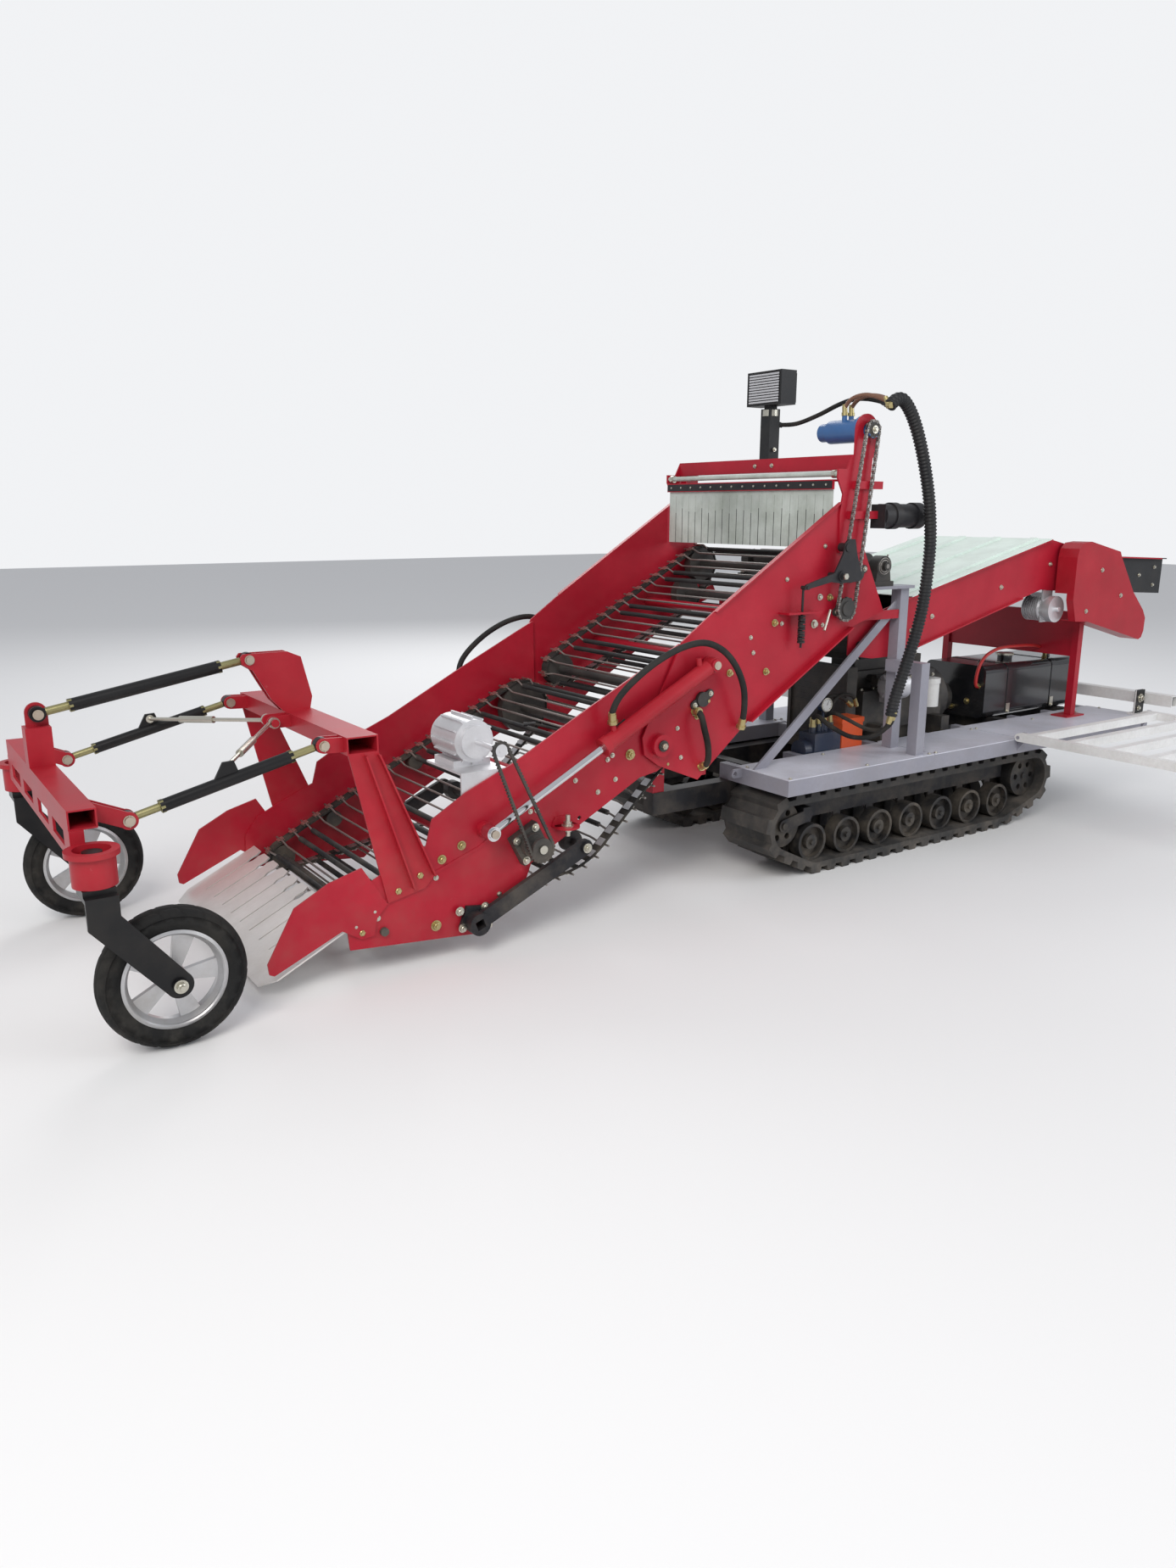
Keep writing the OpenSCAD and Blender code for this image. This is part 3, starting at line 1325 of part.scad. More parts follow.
/* Platforms */
module platform() {
  x0 = 1330;
  x1 = 2490;
  z0 = fold_z - plat_t / 2;
  z1 = fold_z + plat_t / 2;
  color([0.85, 0.85, 0.86]) {
    for (x = [x0, x1 - plat_t]) {
      difference() {
        union() {
          box(x, x + plat_t, -plat_y, -fold_y, z0, z1);
          translate([x, -fold_y, fold_z]) rotate([0, 90, 0]) cylinder(r = plat_t / 2, h = plat_t);
        }
        translate([x - 5, -fold_y, fold_z]) rotate([0, 90, 0]) cylinder(r = 8 + fit, h = plat_t + 10);
      }
    }
    for (i = [0:plat_bars - 1]) {
      y = -fold_y - 35 - i * (plat_y - fold_y - 35 - plat_t) / (plat_bars - 1);
      box(x0 + 1, x1 - 1, y - plat_t, y, z0, z1);
    }
  }
}

module left_platform() {
  platform();
}

module right_platform() {
  mirror([0, 1, 0]) platform();
}

track_frames();
track_rollers();
drive_sprockets();
left_track();
right_track();
chassis_frame();
deck_frames();
deck_plates();
post_frame();
transfer_roller();
engine();
alternator();
hydraulic_unit();
filter_canister();
battery_box();
fuel_tank();
rear_web_rods();
rear_web_belts();
rear_rollers();
top_frame();
rubber_curtain();
work_lamp();
web_motor();
drive_chain();
chain_tensioner();
oil_filter();
corrugated_hose();
unload_plates();
unload_belt();
cover_sheet();
end_guard();
unload_motor();
unload_chute();
unload_supports();
rear_rail();
front_arch();
shovel();
share_plates();
shaker_motor();
shaker_drive();
shaker_arms();
front_web_rods();
front_web_belts();
front_rollers();
lower_links();
stabilisers();
top_link();
wheel_beam();
left_caster();
right_caster();
left_tyre();
left_rim();
right_tyre();
right_rim();
lift_barrels();
lift_rods();
left_platform();
right_platform();
rear_frame();
front_frame();
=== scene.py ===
import bpy
import bmesh
import math
from mathutils import Matrix, Vector


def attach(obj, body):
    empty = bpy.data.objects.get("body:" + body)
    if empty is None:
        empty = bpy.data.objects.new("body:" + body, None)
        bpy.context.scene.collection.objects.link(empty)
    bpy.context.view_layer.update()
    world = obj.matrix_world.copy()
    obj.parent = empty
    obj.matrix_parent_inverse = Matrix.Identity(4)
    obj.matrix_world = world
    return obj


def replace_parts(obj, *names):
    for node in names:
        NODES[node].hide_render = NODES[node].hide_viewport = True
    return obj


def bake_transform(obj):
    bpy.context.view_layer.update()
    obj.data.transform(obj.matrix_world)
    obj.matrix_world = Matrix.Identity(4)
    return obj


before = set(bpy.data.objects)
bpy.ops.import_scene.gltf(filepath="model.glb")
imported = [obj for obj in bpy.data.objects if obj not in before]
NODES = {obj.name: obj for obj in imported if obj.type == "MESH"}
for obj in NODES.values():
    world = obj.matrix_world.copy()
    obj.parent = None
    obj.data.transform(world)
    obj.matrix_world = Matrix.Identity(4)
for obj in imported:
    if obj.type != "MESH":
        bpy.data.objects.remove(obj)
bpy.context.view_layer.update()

# All places and sizes are in metres in the frame of the CAD model
SIDES = (-1, 1)
Y_AXIS = Vector((0, 1, 0))

# Camera, floor and light
PHOTO_HEIGHT_PX = 1849.0
FOCAL_PX = 1304.4
SENSOR_MM = 36.0
CAMERA_AT = (-3.424, -3.913, 1.578)
CAMERA_YAW = 34.24
CAMERA_PITCH = -13.95
CAMERA_ROLL = 0.08
FLOOR_HALF = 30
FLOOR_COLOUR = (0.83, 0.83, 0.83, 1)
SKY_LIGHT = (0.93, 0.95, 1.0, 1)
SKY_LIGHT_POWER = 0.55
SKY_SEEN = (0.93, 0.94, 0.96, 1)
SKY_SEEN_POWER = 0.95
LAMP_AIM = Vector((0, 0, 0.8))
LAMPS = (
    ("key", (-6.5, -5.5, 7.0), 4.5, 520, (1, 0.97, 0.93)),
    ("fill", (5.5, -7.0, 4.5), 5.0, 230, (0.93, 0.96, 1)),
    ("back", (3.0, 7.0, 6.0), 5.0, 260, (1, 1, 1)),
)


def make_camera():
    """The camera that the photo was taken with, as fitted."""
    cam = bpy.data.cameras.new("camera")
    cam.sensor_fit = "VERTICAL"
    cam.sensor_height = SENSOR_MM
    cam.sensor_width = SENSOR_MM
    cam.lens = SENSOR_MM * FOCAL_PX / PHOTO_HEIGHT_PX
    cam.clip_start = 0.05
    cam.clip_end = 100
    ob = bpy.data.objects.new("camera", cam)
    bpy.context.scene.collection.objects.link(ob)
    yaw = math.radians(CAMERA_YAW)
    pitch = math.radians(CAMERA_PITCH)
    fwd = Vector((math.sin(yaw) * math.cos(pitch), math.cos(yaw) * math.cos(pitch), math.sin(pitch)))
    right = Vector((math.cos(yaw), -math.sin(yaw), 0))
    up = right.cross(fwd)
    m = Matrix((right, up, -fwd)).transposed().to_4x4()
    m.translation = Vector(CAMERA_AT)
    ob.matrix_world = m @ Matrix.Rotation(math.radians(CAMERA_ROLL), 4, "Z")
    bpy.context.scene.camera = ob


def make_floor():
    """A plain pale floor."""
    me = bpy.data.meshes.new("floor")
    s = FLOOR_HALF
    me.from_pydata([(-s, -s, 0), (s, -s, 0), (s, s, 0), (-s, s, 0)], [], [(0, 1, 2, 3)])
    ob = bpy.data.objects.new("floor", me)
    bpy.context.scene.collection.objects.link(ob)
    m = bpy.data.materials.new("floor")
    m.use_nodes = True
    shader = m.node_tree.nodes["Principled BSDF"]
    shader.inputs["Base Color"].default_value = FLOOR_COLOUR
    shader.inputs["Roughness"].default_value = 0.9
    me.materials.append(m)


def make_world():
    """A soft sky for the light, and a paler one that only the camera and clear surfaces see."""
    w = bpy.data.worlds.new("world")
    bpy.context.scene.world = w
    w.use_nodes = True
    t = w.node_tree
    light = t.nodes["Background"]
    light.inputs[0].default_value = SKY_LIGHT
    light.inputs[1].default_value = SKY_LIGHT_POWER
    seen = t.nodes.new("ShaderNodeBackground")
    seen.inputs[0].default_value = SKY_SEEN
    seen.inputs[1].default_value = SKY_SEEN_POWER
    path = t.nodes.new("ShaderNodeLightPath")
    either = t.nodes.new("ShaderNodeMath")
    either.operation = "MAXIMUM"
    t.links.new(path.outputs["Is Camera Ray"], either.inputs[0])
    t.links.new(path.outputs["Is Transmission Ray"], either.inputs[1])
    mix = t.nodes.new("ShaderNodeMixShader")
    t.links.new(either.outputs[0], mix.inputs[0])
    t.links.new(light.outputs[0], mix.inputs[1])
    t.links.new(seen.outputs[0], mix.inputs[2])
    t.links.new(mix.outputs[0], t.nodes["World Output"].inputs[0])


def make_lamps():
    """Three soft lamps that look at the middle of the machine."""
    for name, place, size, power, colour in LAMPS:
        lamp_data = bpy.data.lights.new(name, "AREA")
        lamp_data.shape = "SQUARE"
        lamp_data.size = size
        lamp_data.energy = power
        lamp_data.color = colour
        ob = bpy.data.objects.new(name, lamp_data)
        bpy.context.scene.collection.objects.link(ob)
        ob.location = place
        ob.rotation_euler = (LAMP_AIM - Vector(place)).to_track_quat("-Z", "Y").to_euler()


def make_stage():
    make_floor()
    make_world()
    make_lamps()
    bpy.context.scene.view_settings.view_transform = "Standard"


# Materials
BROAD_SCALE = 3.2
CHIP_SCALE = 34
PATCH_SCALE = 7.5
FINE_SHADE = 0.25
WORN_COLOUR = (0.42, 0.4, 0.38)
GROUND_DUST = 1.0
HIGH_DUST = 0.18
ROUGH_SPREAD = 0.18
DUST_ROUGH = 0.4
COAT_ROUGH = 0.12
BUMP_DEPTH = 0.002


def _mix(nt, fac, a, b):
    n = nt.nodes.new("ShaderNodeMix")
    n.data_type = "RGBA"
    for sock, v in ((n.inputs[0], fac), (n.inputs[6], a), (n.inputs[7], b)):
        if isinstance(v, tuple):
            sock.default_value = (*v, 1)
        else:
            nt.links.new(v, sock)
    return n.outputs[2]


def _math(nt, op, a, b, clamp=False):
    n = nt.nodes.new("ShaderNodeMath")
    n.operation = op
    n.use_clamp = clamp
    for sock, v in zip(n.inputs, (a, b)):
        if isinstance(v, (int, float)):
            sock.default_value = v
        else:
            nt.links.new(v, sock)
    return n.outputs[0]


def _ramp(nt, value, lo, hi, at_lo=0.0, at_hi=1.0):
    n = nt.nodes.new("ShaderNodeMapRange")
    n.clamp = True
    for k, v in enumerate((lo, hi, at_lo, at_hi)):
        n.inputs[k + 1].default_value = v
    nt.links.new(value, n.inputs[0])
    return n.outputs[0]


def _noise(nt, co, scale, detail, rough=0.55, stretch=None):
    if stretch:
        mp = nt.nodes.new("ShaderNodeMapping")
        mp.inputs["Scale"].default_value = stretch
        nt.links.new(co, mp.inputs[0])
        co = mp.outputs[0]
    n = nt.nodes.new("ShaderNodeTexNoise")
    n.inputs["Scale"].default_value = scale
    n.inputs["Detail"].default_value = detail
    n.inputs["Roughness"].default_value = rough
    nt.links.new(co, n.inputs["Vector"])
    return n.outputs["Fac"]


def material(name, col, rough=0.4, metal=0.0, var=0.12, dirt=0.3, dirt_col=(0.30, 0.25, 0.19), low=0.9,
             bump=0.05, scale=60, stretch=None, coat=0.0, wear=0.0, spec=0.5):
    """Colour with broad and fine variation, dust that thins out up to the height low, worn patches and
    a fine bump. The values that are the same all over sit on the shader's own sockets."""
    m = bpy.data.materials.new(name)
    m.use_nodes = True
    nt = m.node_tree
    bs = nt.nodes["Principled BSDF"]
    co = nt.nodes.new("ShaderNodeTexCoord").outputs["Object"]
    broad = _noise(nt, co, BROAD_SCALE, 5)
    fine = _noise(nt, co, scale, 5, 0.6, stretch)
    dark = tuple(c * (1 - var) for c in col)
    light = tuple(min(1.0, c * (1 + var) + var * 0.04) for c in col)
    shaded = tuple(c * 0.8 for c in col)
    base = _mix(nt, _ramp(nt, broad, 0.3, 0.7), dark, light)
    base = _mix(nt, _math(nt, "MULTIPLY", _ramp(nt, fine, 0.35, 0.7), FINE_SHADE), base, shaded)
    if wear:
        chips = _ramp(nt, _noise(nt, co, CHIP_SCALE, 8, 0.75), 0.66, 0.7)
        base = _mix(nt, _math(nt, "MULTIPLY", chips, wear), base, WORN_COLOUR)
    sep = nt.nodes.new("ShaderNodeSeparateXYZ")
    nt.links.new(co, sep.inputs[0])
    height = _ramp(nt, sep.outputs[2], 0.0, low, GROUND_DUST, HIGH_DUST)
    patch = _ramp(nt, _noise(nt, co, PATCH_SCALE, 8, 0.65), 0.42, 0.72)
    mask = _math(nt, "MULTIPLY", _math(nt, "MULTIPLY", patch, height), dirt, True)
    base = _mix(nt, mask, base, dirt_col)
    nt.links.new(base, bs.inputs["Base Color"])
    r = _math(nt, "ADD", _math(nt, "MULTIPLY", broad, ROUGH_SPREAD), rough - ROUGH_SPREAD / 2)
    r = _math(nt, "ADD", r, _math(nt, "MULTIPLY", mask, DUST_ROUGH), True)
    nt.links.new(r, bs.inputs["Roughness"])
    bs.inputs["Metallic"].default_value = metal
    bs.inputs["Specular IOR Level"].default_value = spec
    if coat:
        bs.inputs["Coat Weight"].default_value = coat
        bs.inputs["Coat Roughness"].default_value = COAT_ROUGH
    b = nt.nodes.new("ShaderNodeBump")
    b.inputs["Strength"].default_value = bump
    b.inputs["Distance"].default_value = BUMP_DEPTH
    nt.links.new(fine, b.inputs["Height"])
    nt.links.new(b.outputs[0], bs.inputs["Normal"])
    return m


M = dict(
    red=material("red paint", (0.40, 0.006, 0.022), 0.38, var=0.14, dirt=0.12, bump=0.03, coat=0.06,
                 wear=0.06, spec=0.3),
    red2=material("red paint faded", (0.38, 0.008, 0.02), 0.42, var=0.16, dirt=0.16, bump=0.03, coat=0.06,
                  wear=0.1, spec=0.3),
    grey=material("grey paint", (0.28, 0.28, 0.33), 0.42, var=0.1, dirt=0.25, bump=0.03, coat=0.1, wear=0.15),
    deck=material("deck plate", (0.60, 0.61, 0.69), 0.4, bump=0.08, scale=120, coat=0.1, wear=0.1),
    white=material("white paint", (0.78, 0.78, 0.77), 0.42, var=0.08, bump=0.03, wear=0.1),
    black=material("black paint", (0.014, 0.014, 0.017), 0.45, var=0.2, bump=0.06, spec=0.3),
    glossblack=material("gloss black paint", (0.012, 0.013, 0.016), 0.2, var=0.2, dirt=0.12, bump=0.02,
                        coat=0.5),
    iron=material("dusty iron", (0.05, 0.048, 0.046), 0.6, metal=0.4, var=0.3, dirt=0.6, bump=0.25, scale=40),
    blue=material("blue paint", (0.03, 0.12, 0.32), 0.4, var=0.15, coat=0.2),
    steel=material("web steel", (0.30, 0.28, 0.26), 0.38, metal=0.8, var=0.3, dirt=0.5,
                   dirt_col=(0.2, 0.16, 0.12), low=2.2, bump=0.15),
    stainless=material("shovel steel", (0.82, 0.80, 0.77), 0.4, metal=0.55, var=0.08, dirt=0.35,
                       dirt_col=(0.5, 0.47, 0.42), low=0.4, bump=0.06, scale=25, stretch=(1, 8, 1)),
    chrome=material("chrome rod", (0.75, 0.75, 0.77), 0.12, metal=1.0, var=0.04, dirt=0.05, bump=0.0),
    zinc=material("zinc plate", (0.6, 0.58, 0.5), 0.3, metal=0.9, var=0.1, dirt=0.2),
    gold=material("yellow zinc", (0.5, 0.42, 0.2), 0.33, metal=0.85, var=0.15),
    alloy=material("cast alloy", (0.72, 0.72, 0.74), 0.4, metal=0.65, var=0.1, dirt=0.35, bump=0.15,
                   scale=90),
    rubber=material("belt rubber", (0.016, 0.016, 0.016), 0.72, spec=0.25, var=0.25, dirt=0.4, bump=0.3,
                    scale=80),
    track=material("track rubber", (0.03, 0.029, 0.028), 0.75, var=0.3, dirt=0.75,
                   dirt_col=(0.2, 0.17, 0.14), low=0.5, bump=0.5, scale=45),
    tyre=material("tyre rubber", (0.008, 0.008, 0.008), 0.7, spec=0.2, var=0.25, dirt=0.25,
                  dirt_col=(0.2, 0.18, 0.15), low=0.5, bump=0.25, scale=70),
    pale=material("curtain rubber", (0.50, 0.55, 0.51), 0.7, var=0.3, dirt=0.7,
                  dirt_col=(0.24, 0.28, 0.22), low=4.0, bump=0.3, scale=30, stretch=(1, 6, 0.4)),
    plastic=material("black plastic", (0.015, 0.016, 0.018), 0.48, spec=0.3, var=0.15, dirt=0.2, bump=0.08),
    orange=material("orange plastic", (0.75, 0.1, 0.02), 0.4, var=0.1),
    sheet=material("cover sheet", (0.74, 0.84, 0.78), 0.5, var=0.08, dirt=0.25, low=2.2, bump=0.12, scale=14),
    whitemetal=material("white enamel", (0.72, 0.72, 0.7), 0.35, var=0.06, dirt=0.2, coat=0.2),
    hosebrown=material("brown hose", (0.16, 0.07, 0.04), 0.5, var=0.2),
    rim=material("rim alloy", (0.56, 0.56, 0.57), 0.34, metal=0.85, dirt=0.45,
                 dirt_col=(0.3, 0.26, 0.2), low=0.6, bump=0.12, scale=90),
    navy=material("navy paint", (0.012, 0.025, 0.06), 0.35, var=0.2, coat=0.2),
    enamel=material("black enamel", (0.007, 0.007, 0.008), 0.34, var=0.15, dirt=0.06, bump=0.03, spec=0.3),
    darkiron=material("dark iron", (0.022, 0.021, 0.021), 0.5, metal=0.3, var=0.3, dirt=0.5, bump=0.2,
                      scale=40),
    studs=material("studded rubber", (0.016, 0.016, 0.017), 0.55, var=0.25, bump=0.2, scale=80),
    olive=material("olive zinc", (0.36, 0.33, 0.16), 0.35, metal=0.8, var=0.2),
    pin=material("pin steel", (0.55, 0.47, 0.38), 0.35, metal=0.8, var=0.15),
    redhose=material("red hose", (0.5, 0.02, 0.02), 0.4, var=0.1, dirt=0.2),
)

PAINT = dict(
    track_frames="black", track_rollers="darkiron", drive_sprockets="darkiron", left_track="track",
    right_track="track", chassis_frame="black", deck_frames="grey", deck_plates="deck", post_frame="grey",
    transfer_roller="iron", engine="iron", alternator="alloy", hydraulic_unit="navy",
    filter_canister="whitemetal", battery_box="orange", fuel_tank="glossblack", rear_frame="red",
    rear_web_rods="steel", rear_web_belts="rubber", rear_rollers="iron", top_frame="red",
    rubber_curtain="pale", work_lamp="plastic", web_motor="blue", drive_chain="steel",
    chain_tensioner="black", oil_filter="black", corrugated_hose="plastic", unload_plates="red",
    unload_belt="rubber", cover_sheet="sheet", end_guard="red2", unload_motor="alloy",
    unload_chute="plastic", unload_supports="red", rear_rail="white", front_frame="red", front_arch="red2",
    shovel="stainless", share_plates="red", shaker_motor="alloy", shaker_drive="iron", shaker_arms="black",
    front_web_rods="steel", front_web_belts="rubber", front_rollers="iron", lower_links="enamel",
    stabilisers="zinc", top_link="enamel", wheel_beam="red2", left_caster="enamel", right_caster="enamel",
    left_tyre="tyre", left_rim="rim", right_tyre="tyre", right_rim="rim", lift_barrels="red2",
    lift_rods="chrome", left_platform="white", right_platform="white")


def paint_nodes():
    """Every CAD node gets its material."""
    for name, ob in NODES.items():
        ob.data.materials.clear()
        ob.data.materials.append(M[PAINT[name]])


# Mesh helpers
class Build:
    """One mesh put together from tubes, cylinders, boxes, side-view outlines and bolts."""

    def __init__(self):
        self.verts = []
        self.faces = []
        self.smooth = []

    def add(self, verts, faces, smooth=False):
        o = len(self.verts)
        self.verts += [tuple(p) for p in verts]
        self.faces += [tuple(i + o for i in f) for f in faces]
        self.smooth += [smooth] * len(faces)

    def tube(self, path, r, n=10, cap=True, radii=None):
        """A round tube of n sides along a path, with its own radius at each point if radii are given."""
        path = [Vector(p) for p in path]
        k = len(path)
        t0 = (path[1] - path[0]).normalized()
        up = Vector((0, 0, 1)) if abs(t0.z) < 0.9 else Vector((1, 0, 0))
        side = t0.cross(up).normalized()
        verts = []
        for i, p in enumerate(path):
            t = (path[min(i + 1, k - 1)] - path[max(i - 1, 0)]).normalized()
            side = (side - t * side.dot(t)).normalized()
            b = t.cross(side)
            rr = radii[i] if radii else r
            for j in range(n):
                a = 2 * math.pi * j / n
                verts.append(p + side * (rr * math.cos(a)) + b * (rr * math.sin(a)))
        faces = []
        for i in range(k - 1):
            for j in range(n):
                m = (j + 1) % n
                faces.append((i * n + j, i * n + m, (i + 1) * n + m, (i + 1) * n + j))
        self.add(verts, faces, True)
        if cap:
            self.add(verts[:n], [tuple(range(n))[::-1]])
            self.add(verts[-n:], [tuple(range(n))])

    def cyl(self, p, q, r, n=16, r2=None):
        """A closed cylinder or cone from p to q."""
        self.tube([p, q], r, n, True, [r, r if r2 is None else r2])

    def box(self, c, s, m=None):
        """A box of size s about c, turned by m."""
        m = m or Matrix.Identity(3)
        c = Vector(c)
        signs = [(x, y, z) for x in SIDES for y in SIDES for z in SIDES]
        verts = [c + m @ Vector((x * s[0] / 2, y * s[1] / 2, z * s[2] / 2)) for x, y, z in signs]
        self.add(verts, [(0, 1, 3, 2), (4, 6, 7, 5), (0, 4, 5, 1), (2, 3, 7, 6), (0, 2, 6, 4), (1, 5, 7, 3)])

    def slab(self, pts, y0, y1):
        """An outline in the side view, from y0 to y1."""
        n = len(pts)
        verts = [Vector((x, y, z)) for y in (y0, y1) for x, z in pts]
        walls = [(i, i + n, (i + 1) % n + n, (i + 1) % n) for i in range(n)]
        self.add(verts, [tuple(range(n)), tuple(range(2 * n - 1, n - 1, -1))] + walls)

    def bolt(self, p, axis, r=0.008, h=0.007, washer=True, stud=0.0):
        """A hexagon head for a shank of radius r, with a washer and a stud end if asked for."""
        p, axis = Vector(p), Vector(axis).normalized()
        q = p
        if washer:
            q = p + axis * 0.002
            self.cyl(p, q, r * 1.55, 16)
        self.cyl(q, q + axis * h, r * 1.12, 6)
        self.cyl(q + axis * h, q + axis * (h + 0.0015), r * 0.95, 12, r * 0.8)
        if stud:
            self.cyl(q + axis * h, q + axis * (h + stud), r * 0.6, 10)

    def side_bolts(self, places, y, r, h, washer=True, stud=0.0):
        """Bolts on both sides of the machine, on faces at y and -y."""
        for x, z in places:
            for s in SIDES:
                self.bolt((x, s * y, z), (0, s, 0), r, h, washer, stud)

    def both_cyl(self, x, z, y0, y1, r, n):
        """A cylinder across the machine, on both sides."""
        for s in SIDES:
            self.cyl((x, s * y0, z), (x, s * y1, z), r, n)

    def both_slabs(self, pts, y0, y1):
        for s in SIDES:
            self.slab(pts, *sorted((s * y0, s * y1)))

    def obj(self, name, mat, body, slot):
        """The finished object with the material mat, riding on a body if one is given. The argument slot is
        not used.
        """
        me = bpy.data.meshes.new(name)
        me.from_pydata(self.verts, [], self.faces)
        for p, s in zip(me.polygons, self.smooth):
            p.use_smooth = s
        me.materials.append(M[mat])
        me.validate()
        bm = bmesh.new()
        bm.from_mesh(me)
        bmesh.ops.recalc_face_normals(bm, faces=bm.faces)
        bm.to_mesh(me)
        bm.free()
        ob = bpy.data.objects.new(name, me)
        bpy.context.scene.collection.objects.link(ob)
        if body:
            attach(ob, body)
        return ob


def circle(x, y, z, r, n):
    """A closed ring of n steps in the side view."""
    angles = [2 * math.pi * k / n for k in range(n + 1)]
    return [(x + r * math.cos(a), y, z + r * math.sin(a)) for a in angles]


def smooth_path(pts, n):
    """A smooth line of n evenly spaced points through the given ones, and its length."""
    pts = [Vector(p) for p in pts]
    fine = []
    for i in range(len(pts) - 1):
        p0, p1, p2, p3 = pts[max(i - 1, 0)], pts[i], pts[i + 1], pts[min(i + 2, len(pts) - 1)]
        for k in range(24):
            t = k / 24
            bend = (2 * p0 - 5 * p1 + 4 * p2 - p3) * t * t
            fine.append(0.5 * ((2 * p1) + (p2 - p0) * t + bend + (3 * p1 - p0 - 3 * p2 + p3) * t ** 3))
    fine.append(pts[-1])
    run = [0.0]
    for a, b in zip(fine, fine[1:]):
        run.append(run[-1] + (b - a).length)
    out = []
    j = 0
    for k in range(n):
        s = run[-1] * k / (n - 1)
        while j < len(run) - 2 and run[j + 1] < s:
            j += 1
        out.append(fine[j].lerp(fine[j + 1], min(1.0, (s - run[j]) / max(1e-9, run[j + 1] - run[j]))))
    return out, run[-1]


def leave(a, b):
    """The angle at which a belt leaves the circle a for the circle b, both (x, z, radius)."""
    dx, dz = b[0] - a[0], b[1] - a[1]
    return math.atan2(dz, dx) - math.acos((a[2] - b[2]) / math.hypot(dx, dz))


class Loop:
    """A belt or chain round some circles in the side view, each (x, z, radius)."""

    def __init__(self, circles):
        n = len(circles)
        out = [leave(circles[i], circles[(i + 1) % n]) for i in range(n)]
        self.parts = []
        self.start = []
        s = 0.0
        for i, c in enumerate(circles):
            a0 = out[i - 1]
            sweep = (out[i] - a0) % (2 * math.pi)
            q = circles[(i + 1) % n]
            run = math.sqrt((q[0] - c[0]) ** 2 + (q[1] - c[1]) ** 2 - (q[2] - c[2]) ** 2)
            self.start.append(s)
            self.parts.append((c, a0, sweep, c[2] * sweep))
            s += c[2] * sweep + run
        self.len = s

    def at(self, s, t=0.0):
        """The point at the length s along the loop and t outside it, and the angle of its outward normal."""
        s %= self.len
        k = max(i for i in range(len(self.parts)) if self.start[i] <= s + 1e-9)
        c, a0, sweep, arc = self.parts[k]
        u = s - self.start[k]
        a = a0 + (u / c[2] if u < arc else sweep)
        v = max(0.0, u - arc)
        x = c[0] + (c[2] + t) * math.cos(a) - v * math.sin(a)
        z = c[1] + (c[2] + t) * math.sin(a) + v * math.cos(a)
        return (x, z), a


# Webs, tyres and conduit
REAR = Loop([(-0.6, 0.845, 0.073), (0.160, 1.168, 0.076), (0.25, 1.31, 0.083)])
FRONT = Loop([(-1.988, 0.161, 0.053), (-1.25, 0.53, 0.313), (-0.808, 0.683, 0.118)])
BELT_T = 0.008
BELT_Y = 0.485
ROD_T = 0.009
ROD_PITCH = 0.060
ROD_END = 0.530
CRANK_Y = ROD_END - 0.075
CRANK_RUN = 0.030
CRANK_DROP = 0.020
FLAT_Y = CRANK_Y - CRANK_RUN
SPRING_PITCH = 0.0075
SPRING_LOW = 0.0082
SPRING_HIGH = 0.0112
CLIP_SIZE = (0.026, 0.034, 0.0022)
STRAP_SIZE = (0.008, 0.040, 0.0016)
PLATE_SIZE = (0.034, 0.040, 0.0016)
RIVET_SIZE = (0.008, 0.008, 0.0012)


class Rod:
    """The place of one rod on a loop: forward along the belt, out from it and across the machine."""

    def __init__(self, loop, s):
        (x, z), angle = loop.at(s)
        self.along = Vector((math.sin(angle), 0, -math.cos(angle)))
        self.out = Vector((math.cos(angle), 0, math.sin(angle)))
        self.origin = Vector((x, 0, z))
        self.turn = Matrix((self.along, Y_AXIS, self.out)).transposed()

    def at(self, y, h):
        return self.origin + self.out * h + Vector((0, y, 0))


def rod_line():
    """Half a cranked rod and its mirror image, as (y, height over the belt's inner face)."""
    top = BELT_T + ROD_T / 2
    half = [(-ROD_END, top), (-CRANK_Y - 0.006, top), (-CRANK_Y + 0.004, top - 0.003),
            (-FLAT_Y - 0.004, top - CRANK_DROP + 0.003), (-FLAT_Y + 0.006, top - CRANK_DROP)]
    return half + [(-y, h) for y, h in reversed(half)]


